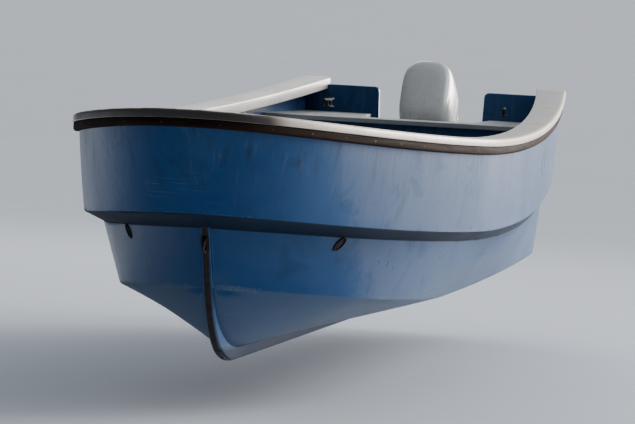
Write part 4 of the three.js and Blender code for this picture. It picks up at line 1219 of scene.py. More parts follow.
def build_hatch():
    fore, aft = forward(HATCH["from"] - HATCH["lap"]), forward(HATCH["to"] + HATCH["lap"])
    deck, half = above(FOREDECK["top"]), HATCH["half"] + HATCH["lap"]
    low, high = deck + FIT, above(FOREDECK["top"] + HATCH["lid"])
    base = np.array(fillet([(fore, half), (fore, -half), (aft, -half), (aft, half)], 0.045, 10))
    middle, reach = np.array([(fore + aft) / 2, 0]), np.array([(fore - aft) / 2, half])
    steps = [(0.0, low), (0.0, high - 0.010)]
    steps += [(0.007 * (1 - math.cos(t)), high - 0.010 + 0.0062 * math.sin(t))
              for t in np.linspace(0.2, math.pi / 2, 4)]
    steps += [(0.030, high - 0.0036), (0.034, high - 0.0026), (0.040, high - 0.0006), (0.046, high)]
    rings = [[(*(middle + (point - middle) * (1 - inset / reach)), z) for point in base]
             for inset, z in steps]
    latch_x, (key_long, key_wide) = aft + LATCH["fore"], LATCH["key"]
    key = fillet(rectangle((-key_long, -key_wide), (key_long, key_wide)), 0.0025)
    lid = [swept(rings), turned(LATCH["rim"], (0, 0, 1), (latch_x, 0, high), 28),
           slab([(latch_x + u, v) for u, v in key], high - 0.0004, high + 0.0030, level)]
    leaf_aft, leaf_fore, thick = HINGE["leaf"]
    pin_x, pin_z, end = fore + HINGE["behind"], deck + HINGE["up"], HINGE["half"] - HINGE["end"]
    leaf = [(fore + u, v) for u, v in ((leaf_fore, -1), (leaf_fore, 1), (leaf_aft, 1), (leaf_aft, -1))]
    hinge = [slab(fillet([(x, v * HINGE["half"]) for x, v in leaf], 0.006), low, low + thick, level)]
    span = 2 * end / HINGE["knuckles"]
    for i in range(HINGE["knuckles"]):
        y = -end + span * i
        barrel = rounded_bar((pin_x, y + 0.0004, pin_z), (pin_x, y + span - 0.0004, pin_z), HINGE["radius"])
        (lid if i % 2 else hinge).append(barrel)
        if i % 2:
            strap = [(fore - 0.020, y + 0.001), (fore - 0.020, y + span - 0.001),
                     (pin_x, y + span - 0.001), (pin_x, y + 0.001)]
            lid.append(slab(fillet(strap, [0.006, 0.006, 0, 0]), high - 0.0045, high - 0.0005, level))
    for y in HINGE["screws"]:
        hinge.append(dome((fore + 0.036, y, low + thick), (0, 0, 1), 0.0055, 0.0015, 14))
    new_piece("bow_hatch_cover", joined(*lid), "liner_gelcoat", ["bow_hatch_lid"], "hatch", 35)
    new_piece("bow_hatch_hinge_leaf", joined(*hinge), "galvanised", ["bow_hatch_hinge"], angle=40)


def build_bow_eye():
    top, bend = np.array(KEEL["top"]), np.array(KEEL["bend"])
    slope = np.array([top[0] - bend[0], bend[1] - top[1]])
    slope /= np.linalg.norm(slope)
    out = Vector((-slope[1], 0, slope[0]))
    aft = top[0] + (bend[0] - top[0]) * ((top[1] - BOW_EYE["up"]) / (top[1] - bend[1]))
    seat = Vector((forward(aft), 0, above(BOW_EYE["up"]))) + out * (STEM_BAND["thick"] + 2 * FIT)
    place = Matrix.Translation(seat) @ Matrix.Rotation(math.atan2(out.x, out.z), 4, "Y")
    span, foot, leg = BOW_EYE["span"], 0.002, BOW_EYE["reach"] - BOW_EYE["span"]
    path = [(-span, 0, foot), (-span, 0, leg * 0.5)]
    path += [(-span * math.cos(t), 0, foot + leg + span * 0.98 * math.sin(t))
             for t in np.linspace(0, math.pi, 19)]
    path += [(span, 0, leg * 0.5), (span, 0, foot)]
    base_x, base_y, base_z = BOW_EYE["base"]
    nut = [(base_z, 0.0105), (base_z + 0.002, 0.0105), (base_z + 0.004, 0.0085)]
    parts = [tube(path, BOW_EYE["bar"], 20), block((-base_x, -base_y, 0), (base_x, base_y, base_z), 0.012)]
    parts += [turned(nut, (0, 0, 1), (side * span, 0, 0), 24) for side in (-1, 1)]
    piece = new_piece("bow_eye_bolt", sloped(joined(*parts), place), "strap_steel", ["bow_eye"], angle=40)
    return bevel(piece, 0.001, 2, 60)


def scupper_seat():
    """Where the port scupper sits on the skin under the step, its long axis slanted."""
    def side_point(run, share):
        high, low = (line_at(name, np.array([run]))[0][0] for name in ("step", "chine"))
        return high + (low - high) * share

    near, far = (LENGTH * ((SCUPPER["station"] + i) / SCUPPER["stations"]) ** SCUPPER["crowding"]
                 for i in (0, 1))
    share, aft = SCUPPER["share"], SCUPPER["along"]
    seat, below = (side_point(near, s) * (1 - aft) + side_point(far, s) * aft for s in (share, share + 0.1))
    along = Vector(side_point(near, share) - side_point(far, share)).normalized()
    out = along.cross(Vector(below - seat)).normalized()
    basis = Matrix((along, out.cross(along), out)).transposed().to_4x4()
    return Matrix.Translation(Vector(seat)) @ basis @ Matrix.Rotation(math.radians(SCUPPER["slant"]), 4, "Z")


def build_scuppers():
    long, tall, place = SCUPPER["long"] / 2, SCUPPER["tall"] / 2, scupper_seat()

    def oval(profile):
        return sloped(swept([[((long - inset) * math.cos(a), (tall - inset) * math.sin(a), depth)
                              for a in full_turn(48)] for inset, depth in profile]), place)

    bezel = oval([(0.0, -0.006), (0.0, 0.0040), (0.0010, 0.0062), (0.0026, 0.0075), (0.0042, 0.0074),
                  (0.0058, 0.0058), (0.0066, 0.0030), (0.0068, -0.004)])
    screws = [sloped(dome((x, 0, 0.0070), (0, 0, 1), *SCUPPER["screw"], 12), place)
              for x in (long - 0.0034, 0.0034 - long)]
    bezel = joined(bezel, *screws)
    flap = oval([(0.0064, -0.001), (0.0070, 0.0024), (0.0086, 0.0032), (0.0150, 0.0036)])
    for side in ("port", "starboard"):
        if side == "starboard":
            bezel, flap = mirrored(*bezel), mirrored(*flap)
        new_piece("scupper_bezel_" + side, bezel, "strap_steel", ["scupper_" + side], angle=40)
        new_piece("scupper_flap_" + side, flap, "pad_rubber", angle=40)


def horn_radius(share):
    """A cleat's horn, thinner towards its tips, where it ends round."""
    _, _, thick, tip = CLEAT["horn"]
    away, end = abs(share), 0.94
    rounding = math.sqrt(max(1 - ((away - end) / (1 - end)) ** 2, 0.06)) if away > end else 1
    return max((thick - (thick - tip) * away) * rounding, 0.0015)


def build_cleats():
    base_x, base_y, base_z = CLEAT["base"]
    post_x, post_radius = CLEAT["post"]
    middle_up, tip_up = CLEAT["horn"][:2]
    plate = fillet(rectangle((-base_x, -base_y), (base_x, base_y)), 0.016)
    levels = ((1, 0), (1, base_z - 0.002), (0.985, base_z - 0.0006), (0.95, base_z))
    parts = [swept([[(x * share, y * share, z) for x, y in plate] for share, z in levels])]
    post = [(base_z - 0.002, post_radius * 1.5), (base_z + 0.002, post_radius * 1.15),
            (base_z + 0.008, post_radius), (middle_up - 0.004, post_radius * 1.02)]
    for side in (-1, 1):
        parts.append(turned(post, (0, 0, 1), (side * post_x, 0, 0), 24))
        for y in (-0.009, 0.009):
            parts.append(dome((side * (base_x - 0.011), y, base_z), (0, 0, 1), *CLEAT["screw"], 12))
    shares = np.linspace(-1, 1, 33)
    path = [(s * (CLEAT["half"] - 0.0005), 0, middle_up + (tip_up - middle_up) * s * s) for s in shares]
    parts.append(tube(path, [horn_radius(s) for s in shares], 20))
    casting = joined(*parts)
    for name, (aft, y, up, turn) in CLEATS.items():
        place = Matrix.Translation((forward(aft), y, above(up) + FIT)) @ Matrix.Rotation(turn, 4, "Z")
        new_piece(name + "_casting", sloped(casting, place), "cleat_nylon", [name], angle=45)


def build_motor_pad():
    fore, aft = forward(LENGTH - TRANSOM["thick"]) + PAD["thick"], forward(LENGTH) - PAD["thick"]
    inner_fore, inner_aft = fore - PAD["thick"] + FIT, aft + PAD["thick"] - FIT
    low, top, seat = above(PAD["low"]), above(TRANSOM["sill"]) + PAD["cap"], above(TRANSOM["sill"]) + FIT
    outline = [(aft, low), (inner_aft, low), (inner_aft, seat), (inner_fore, seat), (inner_fore, low),
               (fore, low), (fore, top), (aft, top)]
    pad = slab(outline, -PAD["half"], PAD["half"], lengthwise)
    return bevel(new_piece("motor_pad_rubber", pad, "pad_rubber", ["motor_pad"]), 0.0025)


# The outboard motor, drawn upright about its tilt axis, X forward of the axis and Z over it.
TILT = next(joint for joint in frame["joints"] if joint["name"] == "motor_tilt")
CLAMP = {"inner": 0.076, "thick": 0.016, "bore": 0.0149, "bridge": 0.010, "jaw": 0.014, "foot": -0.290,
         "tie": (-0.272, 0.008), "bolt": (0.0065, 0.003)}
SCREWS = {"across": (0.045, -0.045), "up": -0.095, "long": 0.062, "radius": 0.009, "thread": 0.0011,
          "handle": 0.030, "rod": 0.006}
SWIVEL = {"aft": 0.130, "low": -0.230, "high": 0.044, "radius": 0.032, "bore": 0.0197, "shaft": 0.019,
          "web": 0.011, "arm": 0.030, "hub": 0.026, "pin": 0.014}
YOKE = {"up": (0.006, 0.030), "down": (0.030, 0.006), "reach": (0.028, 0.080), "half": 0.033}

# Level rings of the leg, the strut and the cowls: up, front, back, half breadth, squareness.
LEG = ((-0.700, -0.185, -0.330, 0.030, 2.0), (-0.420, -0.180, -0.335, 0.036, 2.0),
       (-0.150, -0.176, -0.345, 0.044, 2.2), (0.088, -0.176, -0.360, 0.062, 2.4),
       (0.090, -0.178, -0.358, 0.060, 2.4))
LOWER_COWL = ((0.0903, -0.026, -0.344, 0.104, 3.0), (0.094, -0.020, -0.350, 0.110, 3.0),
              (0.108, 0.0, -0.395, 0.136, 3.2), (0.128, 0.005, -0.411, 0.1435, 3.2),
              (0.147, 0.006, -0.415, 0.145, 3.2), (0.150, 0.002, -0.411, 0.141, 3.2))
COWL = ((0.1503, 0.002, -0.411, 0.140, 3.2), (0.153, 0.006, -0.417, 0.1455, 3.2),
        (0.158, 0.008, -0.418, 0.147, 3.2), (0.170, 0.008, -0.419, 0.147, 3.2),
        (0.173, 0.0045, -0.4155, 0.1435, 3.2), (0.178, 0.0045, -0.4155, 0.1435, 3.2),
        (0.181, 0.008, -0.420, 0.147, 3.2), (0.250, 0.004, -0.424, 0.145, 3.2),
        (0.350, -0.010, -0.420, 0.138, 3.2), (0.392, -0.024, -0.408, 0.130, 3.1),
        (0.411, -0.042, -0.391, 0.118, 3.0), (0.423, -0.068, -0.366, 0.098, 2.8),
        (0.4285, -0.105, -0.330, 0.070, 2.6), (0.4305, -0.160, -0.275, 0.035, 2.4))
GEARCASE = {"axis": -0.885, "plate": (-0.715, -0.165, -0.425, 0.084, 0.006), "skeg_half": 0.005}
# The torpedo's profile, aft of the tilt axis: along and radius.
TORPEDO = ((0.102, 0.0), (0.1035, 0.0045), (0.108, 0.0125), (0.117, 0.0215), (0.130, 0.030), (0.148, 0.037),
           (0.170, 0.042), (0.200, 0.0455), (0.230, 0.047), (0.270, 0.0468), (0.300, 0.0455), (0.330, 0.0448),
           (0.3455, 0.0440), (0.348, 0.042))
STRUT = ((-0.7003, -0.185, -0.330, 0.030, 2.0), (-0.715, -0.185, -0.329, 0.0285, 2.0),
         (-0.760, -0.185, -0.325, 0.024, 2.0), (-0.830, -0.178, -0.322, 0.024, 2.0),
         (-0.885, -0.175, -0.320, 0.026, 2.0))
PROPELLER = {"pitch": 0.300, "front": -0.3483, "back": -0.440, "middle": -0.395, "blades": 3}
# Sections of a blade: radius, chord, thickness.
BLADE = ((0.030, 0.066, 0.0095), (0.040, 0.076, 0.0088), (0.060, 0.092, 0.0070), (0.080, 0.101, 0.0062),
         (0.095, 0.104, 0.0056), (0.110, 0.097, 0.0048), (0.122, 0.084, 0.0040), (0.130, 0.064, 0.0032),
         (0.134, 0.036, 0.0026))
TILLER = {"root": (0.0063, 0.122), "rise": 25, "start": 0.012, "arm": 0.290, "long": 0.400,
          "block": (0.026, 0.032, 0.024), "grip": 0.019, "rings": 45}


def on_motor(part, tilted):
    """Carries points drawn upright to where the motor hangs, tilted up unless they are the clamp's."""
    turn = math.radians(abs(TILT["range_deg"][1] - TILT["range_deg"][0])) if tilted else 0.0
    x, y, z = part[0].T
    along, up = x * math.cos(turn) + z * math.sin(turn), -x * math.sin(turn) + z * math.cos(turn)
    return np.stack([along, y, up], -1) + np.array(TILT["pos_m"]), part[1]


def motor_piece(name, parts, finish_name, node, body="motor", angle=40):
    """A piece from parts drawn upright. Only the clamp, which is on the hull, stays upright."""
    return new_piece(name, on_motor(joined(*parts), body != "hull"), finish_name, [node], body, angle)


def spread(rows, count):
    """More rows, evenly between those of a table."""
    rows = np.array(rows)
    order = np.arange(len(rows))
    return np.stack(at_place(np.linspace(0, len(rows) - 1, count), order, rows), -1)


def stacked(levels, sides=56, between=1):
    """A closed body over level rings, each a rounded rectangle of its own squareness."""
    rings = []
    for up, front, back, half, power in spread(levels, (len(levels) - 1) * between + 1):
        ring = []
        for i in range(sides):
            angle = 2 * math.pi * i / sides
            u, v = (math.copysign(abs(w) ** (2 / power), w) for w in (math.cos(angle), math.sin(angle)))
            ring.append(((front + back) / 2 + u * (front - back) / 2, v * half, up))
        rings.append(ring)
    return swept(rings)


def clamp_screw(y, jaw):
    """A threaded clamp screw with its pressing boss and its rod handle."""
    up, radius, end = SCREWS["up"], SCREWS["radius"], jaw + SCREWS["long"]
    grooves = np.linspace(jaw + CLAMP["jaw"] + 0.001, end - 0.014, 24)
    path = [(x, y, up) for x in (jaw + 0.004, *grooves, end + 0.004)]
    radii = [radius - (SCREWS["thread"] if i % 2 else 0.0) for i in range(24)]
    shares = np.linspace(-1, 1, 21)
    knob = [SCREWS["rod"] * (0.72 if abs(s) < 0.62 else 1.0) * (0.55 if abs(s) > 0.97 else 1) for s in shares]
    return [tube(path, [radius - 0.0006, *radii, radius - 0.0006], 16),
            turned([(0.0, 0.017), (0.010, 0.017), (0.012, 0.0155), (0.012, 0.0)], (1, 0, 0),
                   (jaw + CLAMP["jaw"], y, up), 24),
            tube([(end, y, up + SCREWS["handle"] * s) for s in shares], knob, 16)]


def build_clamp():
    axis_x, _, axis_z = TILT["pos_m"]
    pad_top = above(TRANSOM["sill"]) + PAD["cap"] + FIT - axis_z
    jaw = forward(LENGTH - TRANSOM["thick"]) + PAD["thick"] + FIT - axis_x
    heel, foot = forward(LENGTH) - PAD["thick"] - FIT - axis_x, CLAMP["foot"]
    cheek = fillet([(jaw, pad_top), (jaw, -0.150), (jaw + 0.026, -0.150), (jaw + 0.040, -0.060),
                    (0.032, 0.020), (0.018, 0.033), (-0.018, 0.033), (-0.034, 0.020),
                    (heel - 0.026, -0.060), (heel - 0.026, foot), (heel, foot), (heel, pad_top)],
                   [0.003, 0.006, 0.010, 0.030, 0.020, 0.016, 0.016, 0.020, 0.030, 0.010, 0.006, 0.003], 5)
    inner, thick = CLAMP["inner"], CLAMP["thick"]
    tied, outer = inner + thick / 4, inner + thick
    bridge_top, jaw_fore = pad_top + CLAMP["bridge"], jaw + CLAMP["jaw"]
    bridge = fillet([(heel - 0.008, pad_top), (jaw, pad_top), (jaw, -0.140), (jaw_fore, -0.140),
                     (jaw_fore, bridge_top), (heel - 0.008, bridge_top)],
                    [0.002, 0.001, 0.004, 0.006, 0.006, 0.004], 4)
    parts = [slab(cheek, low, low + thick, lengthwise) for low in (inner, -outer)]
    parts.append(slab(bridge, -tied, tied, lengthwise))
    tie_x, tie_half, (tie_up, tie_radius) = heel - 0.013, outer + 0.004, CLAMP["tie"]
    parts.append(rounded_bar((tie_x, -tie_half, tie_up), (tie_x, tie_half, tie_up), tie_radius))
    boss = [(0.0, 0.0245), (0.0025, 0.0245), (0.0035, 0.0235), (0.0035, CLAMP["bore"] + 0.001)]
    for side in (1, -1):
        parts.append(turned(boss, (0, side, 0), (0, side * outer, 0), 40))
        for x, z in ((jaw + 0.014, -0.118), (heel - 0.014, -0.200), (heel - 0.014, -0.120)):
            parts.append(dome((x, side * outer, z), (0, side, 0), *CLAMP["bolt"], 6))
    for y in SCREWS["across"]:
        parts += clamp_screw(y, jaw)
    piece = motor_piece("clamp_bracket_casting", parts, "motor_paint", "clamp_bracket", "hull")
    return bevel(piece, 0.002, 2, 50)


def build_swivel():
    x, arm, web, inner = -SWIVEL["aft"], SWIVEL["arm"], SWIVEL["web"], CLAMP["inner"]
    low, high, radius, bore = SWIVEL["low"], SWIVEL["high"], SWIVEL["radius"], SWIVEL["bore"]
    reach = inner + CLAMP["thick"] + 0.006
    bracket = fillet([(0.010, -0.020), (0.010, 0.024), (x, 0.034), (x, -0.020)], [0.008, 0.012, 0, 0])
    profile = [(low, bore), (low, radius - 0.003), (low + 0.003, radius), (low + 0.020, radius),
               (low + 0.026, radius - 0.0025), (high - 0.026, radius - 0.0025), (high - 0.020, radius),
               (high - 0.003, radius), (high, radius - 0.003), (high, bore), (low, bore)]
    sleeve = [[(x + r * math.cos(a), r * math.sin(a), z) for a in full_turn(48)] for z, r in profile]
    parts = [
        rounded_bar((0, -reach, 0), (0, reach, 0), SWIVEL["pin"], 0.002, 32),
        rounded_bar((0, 0.005 - inner, 0), (0, inner - 0.005, 0), SWIVEL["hub"], 0.003, 40),
        slab(bracket, -arm, arm, lengthwise),
        slab([(-0.085, -0.010), (x, -0.010), (x, -0.205), (x + 0.026, -0.205)], -web, web, lengthwise),
        swept(sleeve, ends=(False, False)),
    ]
    nut = [(0.0, 0.019), (0.004, 0.019), (0.0055, 0.0175), (0.0055, 0.0)]
    parts += [turned(nut, (0, side, 0), (0, side * reach, 0), 6) for side in (1, -1)]
    piece = motor_piece("swivel_bracket_casting", parts, "motor_paint", "swivel_bracket", "swivel")
    return bevel(piece, 0.002, 2, 50)


def build_leg():
    swivel_x = -SWIVEL["aft"]
    low, high, head = SWIVEL["low"], SWIVEL["high"], SWIVEL["high"] + YOKE["up"][1]
    yoke_fore, yoke_aft = YOKE["reach"]
    plan = rectangle((swivel_x - yoke_aft, -YOKE["half"]), (swivel_x + yoke_fore, YOKE["half"]))
    yoke = fillet(plan, [0.004, 0.026, 0.026, 0.004], 8)
    bolt = [(0.0, 0.013), (0.007, 0.013), (0.009, 0.0115), (0.009, 0.0)]
    parts = [
        stacked(LEG, between=4),
        rounded_bar((swivel_x, 0, low - YOKE["down"][0]), (swivel_x, 0, head), SWIVEL["shaft"], 0.001, 32),
        slab(yoke, high + YOKE["up"][0], head, level),
        slab(yoke, low - YOKE["down"][0], low - YOKE["down"][1], level),
        turned(bolt, (0, 0, 1), (swivel_x, 0, head), 6),
    ]
    parts += [dome((x, side * 0.0315, -0.672), (0, side, 0), 0.0055, 0.0035, 6)
              for x in (-0.200, -0.320) for side in (1, -1)]
    return bevel(motor_piece("motor_leg", parts, "motor_paint", "midsection"), 0.002, 2, 55)


def build_cowls():
    latch = fillet(rectangle((-0.235, 0.108), (-0.175, 0.1385)), 0.006, 5)
    knob = [(0.0, 0.010), (0.004, 0.010), (0.006, 0.008), (0.012, 0.008), (0.014, 0.0155), (0.020, 0.0155),
            (0.022, 0.0135), (0.022, 0.0)]
    pan = [stacked(LOWER_COWL, 88)]
    pan += [slab(latch, side * 0.143 - 0.003, side * 0.143 + 0.003, lengthwise) for side in (1, -1)]
    pan.append(turned(knob, (1, 0, 0), (0.002, 0.070, 0.128), 28))
    rib = fillet(rectangle((-0.003, -0.060), (0.003, 0.060)), 0.0028, 4)
    cover = [stacked(COWL, 112)]
    for i in range(5):
        z, back = 0.258 + 0.018 * i, -0.4225 + 0.0016 * max(i - 2, 0) ** 1.5
        cover.append(slab([(back + u, v) for u, v in rib], z, z + 0.007, level))
    motor_piece("motor_pan", pan, "motor_paint", "lower_cowl", angle=35)
    motor_piece("motor_cover", cover, "cowl_plastic", "motor_cowl", angle=35)


def build_gearcase():
    axis, skeg_half = GEARCASE["axis"], GEARCASE["skeg_half"]
    up, front, back, half, thick = GEARCASE["plate"]
    side = [(front, 0.030), (front - 0.070, 0.060), (front - 0.150, half), (back, half)]
    side_radii = [0.026, 0.060, 0.080, 0.030]
    plan = fillet([(front, -0.030)] + side + [(x, -y) for x, y in side[:0:-1]],
                  [side_radii[0]] + side_radii + side_radii[:0:-1], 6)
    skeg = fillet([(-0.215, -0.020), (-0.335, -0.020), (-0.350, -0.187), (-0.300, -0.193)],
                  [0, 0, 0.012, 0.022], 6)
    middle = np.mean(skeg, axis=0)
    rings = [[(middle[0] + (x - middle[0]) * s, y, axis + middle[1] + (z - middle[1]) * s) for x, z in skeg]
             for s, y in ((0.90, -skeg_half), (0.97, -0.003), (1.0, 0.0), (0.97, 0.003), (0.90, skeg_half))]
    inlet = fillet(rectangle((-0.206, -0.0022), (-0.186, 0.0022)), 0.002, 3)
    tab = fillet([(-0.398, -0.722), (-0.340, -0.722), (-0.346, -0.768), (-0.386, -0.776)], 0.010, 4)
    parts = [turned(TORPEDO, (-1, 0, 0), (0, 0, axis), 48), stacked(STRUT, 48, 3),
             slab(plan, up - thick, up, level), swept(rings)]
    parts += [slab([(u, -0.775 - 0.009 * i + v) for u, v in inlet], y - 0.0025, y + 0.0025, lengthwise)
              for y in (0.0185, -0.0185) for i in range(4)]
    parts.append(slab(tab, -0.004, 0.004, lengthwise))
    return bevel(motor_piece("motor_gearcase", parts, "motor_paint", "gearcase"), 0.0012, 2, 60)


def blade_ring(radius, chord, thick, turn):
    """A blade's section at a radius, wrapped round the propeller's axis at its pitch."""
    pitch = math.atan2(PROPELLER["pitch"], 2 * math.pi * radius)
    upper = [(c, 0.5 * thick * (1 - (2 * c) ** 2) ** 0.6 + 0.0003) for c in np.linspace(-0.5, 0.5, 13)]
    ring = []
    for c, t in upper + [(c, -t) for c, t in upper[::-1]]:
        swing = math.asin(max(-0.95, min(0.95, (c * chord * math.cos(pitch) - t * math.sin(pitch)) / radius)))
        along = c * chord * math.sin(pitch) + t * math.cos(pitch)
        ring.append((PROPELLER["middle"] + along, radius * math.sin(swing + turn),
                     GEARCASE["axis"] + radius * math.cos(swing + turn)))
    return ring


def build_propeller():
    front, back, blades = PROPELLER["front"], PROPELLER["back"], PROPELLER["blades"]
    hub = [(front, 0.040), (front - 0.001, 0.0455), (front - 0.006, 0.046), (front - 0.040, 0.0445),
           (back + 0.012, 0.0395), (back + 0.003, 0.038), (back, 0.0395), (back, 0.036),
           (back + 0.004, 0.033), (back + 0.010, 0.018), (back + 0.004, 0.016), (back + 0.001, 0.012),
           (back, 0.0)]
    parts = [turned(hub, (1, 0, 0), (0, 0, GEARCASE["axis"]), 48)]
    for turn in np.arange(blades) * 2 * math.pi / blades:
        parts.append(swept([blade_ring(*row, turn) for row in spread(BLADE, 22)]))
    return motor_piece("propeller_wheel", parts, "propeller_metal", "propeller", "propeller", 50)


def build_tiller():
    rise, (root_x, root_z) = math.radians(TILLER["rise"]), TILLER["root"]
    block_x, block_y, block_z = TILLER["block"]
    start, end, count = TILLER["start"], TILLER["arm"], TILLER["rings"]

    def at(along):
        return (root_x + along * math.cos(rise), 0, root_z + along * math.sin(rise))

    hinge = fillet(rectangle((0.0, -block_z), (block_x, block_z)), [0, 0.009, 0.009, 0], 5)
    pin_x, pin_half, arm = root_x + 0.014, block_y + 0.004, np.linspace(start, end, 14)
    grooves = [TILLER["grip"] * (1.0 if i % 3 else 0.9475) * (0.86 if i in (0, count - 1) else 1)
               for i in range(count)]
    parts = [
        slab([(root_x + u, root_z + v) for u, v in hinge], -block_y, block_y, lengthwise),
        tube([at(s) for s in arm], [0.0185 - 0.004 * (s - start) / end for s in arm], 24),
        rounded_bar((pin_x, -pin_half, root_z), (pin_x, pin_half, root_z), 0.008, 0.002, 24),
        tube([at(s) for s in np.linspace(end - 0.004, TILLER["long"], count)], grooves, 32),
    ]
    return motor_piece("tiller_arm_and_grip", parts, "tiller_rubber", "tiller", angle=45)


# The stage: a pale floor, soft lights and the camera.
CAMERA = {"focal_px": 1140.0, "distance": 24.021, "yaw": 10.705, "trim": 3.394, "heel": 3.658,
          "aside": -0.048, "over": -2.129, "about": (1.03, 0.0, 0.65), "horizon_row": 137.6,
          "horizon_slope": -0.022}
FLOOR = {"gap": 0.22, "reach": 1500.0}
PHOTO = {"width": 635, "height": 424, "centre": (317.5, 212.0)}
SENSOR = 36.0


def camera_axes():
    """Where the fitted camera stands in the boat's frame, and its right, up and back."""
    yaw, trim, heel = (math.radians(CAMERA[name]) for name in ("yaw", "trim", "heel"))
    lean = Matrix(((1, 0, 0), (0, math.cos(heel), math.sin(heel)), (0, -math.sin(heel), math.cos(heel))))
    pitch = Matrix(((math.cos(trim), 0, -math.sin(trim)), (0, 1, 0), (math.sin(trim), 0, math.cos(trim))))
    turn = Matrix(((-math.sin(yaw), math.cos(yaw), 0), (-math.cos(yaw), -math.sin(yaw), 0), (0, 0, 1)))
    from_view = (turn @ pitch @ lean).transposed()
    away = Vector([CAMERA[name] for name in ("aside", "distance", "over")])
    place = Vector(CAMERA["about"]) - from_view @ away
    down = math.atan((PHOTO["centre"][1] - CAMERA["horizon_row"]) / CAMERA["focal_px"])
    roll = math.atan(CAMERA["horizon_slope"])
    level_up, level_right = Vector((0, math.sin(down), math.cos(down))), Vector((1, 0, 0))
    right = level_right * math.cos(roll) + level_up * math.sin(roll)
    up = level_up * math.cos(roll) - level_right * math.sin(roll)
    back = Vector((0, -math.cos(down), math.sin(down)))
    return place, [from_view @ axis for axis in (right, up, back)]


def build_camera(sizes):
    """The photograph's station point, with a longer lens turned to the boat, so that it fills the picture."""
    place, (right, up, back) = camera_axes()
    focal = CAMERA["focal_px"]
    aim_x, aim_y = sizes.aim_across - PHOTO["centre"][0], sizes.aim_down - PHOTO["centre"][1]
    aim = (right * aim_x - up * aim_y - back * focal).normalized()
    side = aim.cross(up).normalized()
    data = bpy.data.cameras.new("photo_camera")
    data.sensor_width = SENSOR
    data.lens = SENSOR * focal / PHOTO["width"] * sizes.enlargement
    data.clip_start, data.clip_end = 0.5, 4000.0
    camera = bpy.data.objects.new("photo_camera", data)
    bpy.context.scene.collection.objects.link(camera)
    basis = Matrix((side, side.cross(aim), -aim)).transposed().to_4x4()
    camera.matrix_world = Matrix.Translation(place) @ basis
    bpy.context.scene.camera = camera


def build_floor(colours):
    """A very wide pale floor under the keel. It isn't drawn from below, to leave the bottom in sight."""
    low, reach = CAD_BOX[0].z - FLOOR["gap"], FLOOR["reach"]
    corners = [(x, y, low) for x, y in rectangle((-reach, -reach), (reach, reach))]
    mesh = bpy.data.meshes.new("studio_floor")
    mesh.from_pydata(corners, [], [(0, 1, 2, 3)])
    floor = bpy.data.objects.new("studio_floor", mesh)
    bpy.context.scene.collection.objects.link(floor)
    f, tone = Finish(bpy.data.materials.new("studio_floor")), tuple(colours.floor)
    colour = f.blend(f.noise(0.4, 3, 0.5), scaled(tone, 0.97), scaled(tone, 1.03))
    shader = f.node("ShaderNodeBsdfPrincipled", None, {"Base Color": colour, "Roughness": 0.85})
    below = f.node("ShaderNodeNewGeometry", output="Backfacing")
    surface = f.mixed(below, shader, f.node("ShaderNodeBsdfTransparent"))
    f.node("ShaderNodeOutputMaterial", None, {"Surface": surface})
    mesh.materials.append(f.material)


# The air is dim ahead and to starboard and bright on the port quarter, where it glows low down, so that
# the bow stays dark and the port side shines.
AIR = {"towards": (-0.765, 0.643, 0.052), "dim": 0.10, "bright": 0.58, "from": 0.05, "to": 0.85,
       "backdrop": 1.05, "glow": 17.0, "glow_from": 0.87, "glow_to": 0.985,
       "overhead": 0.55, "overhead_from": 0.25, "overhead_to": 0.90}
LIGHTS = {
    "key_light": {"at": (-4.0, 8.5, 6.5), "aim": (0.0, 0.0, 0.2), "size": (5.0, 5.0), "power": 300.0},
    "stern_rim": {"at": (-9.5, -3.0, 5.0), "aim": (-2.0, 0.0, 0.5), "size": (4.0, 4.0), "power": 90.0},
}


def build_lights(colours):
    for name, light in LIGHTS.items():
        data = bpy.data.lights.new(name, "AREA")
        data.shape = "RECTANGLE"
        data.size, data.size_y = light["size"]
        data.energy, data.color = light["power"], colours.lamps
        lamp = bpy.data.objects.new(name, data)
        lamp.visible_camera = False
        lamp.location = light["at"]
        lamp.rotation_euler = (Vector(light["aim"]) - Vector(light["at"])).to_track_quat("-Z", "Y").to_euler()
        bpy.context.scene.collection.objects.link(lamp)
    f = Finish(bpy.data.worlds.new("studio_air"))
    way = f.coordinates("Generated")
    towards = f.node("ShaderNodeVectorMath", {"operation": "DOT_PRODUCT"},
                     {0: way, 1: AIR["towards"]}, "Value")
    tones = {name: colours.air for name in ("dim", "bright", "overhead", "backdrop")} | {"glow": colours.glow}
    sky = {name: f.node("ShaderNodeBackground", None, {"Color": (*tone, 1.0), "Strength": AIR[name]})
           for name, tone in tones.items()}
    air = f.mixed(f.step(towards, AIR["from"], AIR["to"]), sky["dim"], sky["bright"])
    air = f.mixed(f.step(f.part_of(way, "Z"), AIR["overhead_from"], AIR["overhead_to"]), air, sky["overhead"])
    air = f.mixed(f.step(towards, AIR["glow_from"], AIR["glow_to"]), air, sky["glow"])
    air = f.mixed(f.node("ShaderNodeLightPath", output="Is Camera Ray"), air, sky["backdrop"])
    f.node("ShaderNodeOutputWorld", None, {"Surface": air})
    bpy.context.scene.world = f.material
    bpy.context.scene.view_settings.look = "AgX - Medium High Contrast"


# The add-on.
def colour_choice(name, description, default):
    return bpy.props.FloatVectorProperty(
        name=name, description=description, default=default, subtype="COLOR", size=3, min=0, max=1)


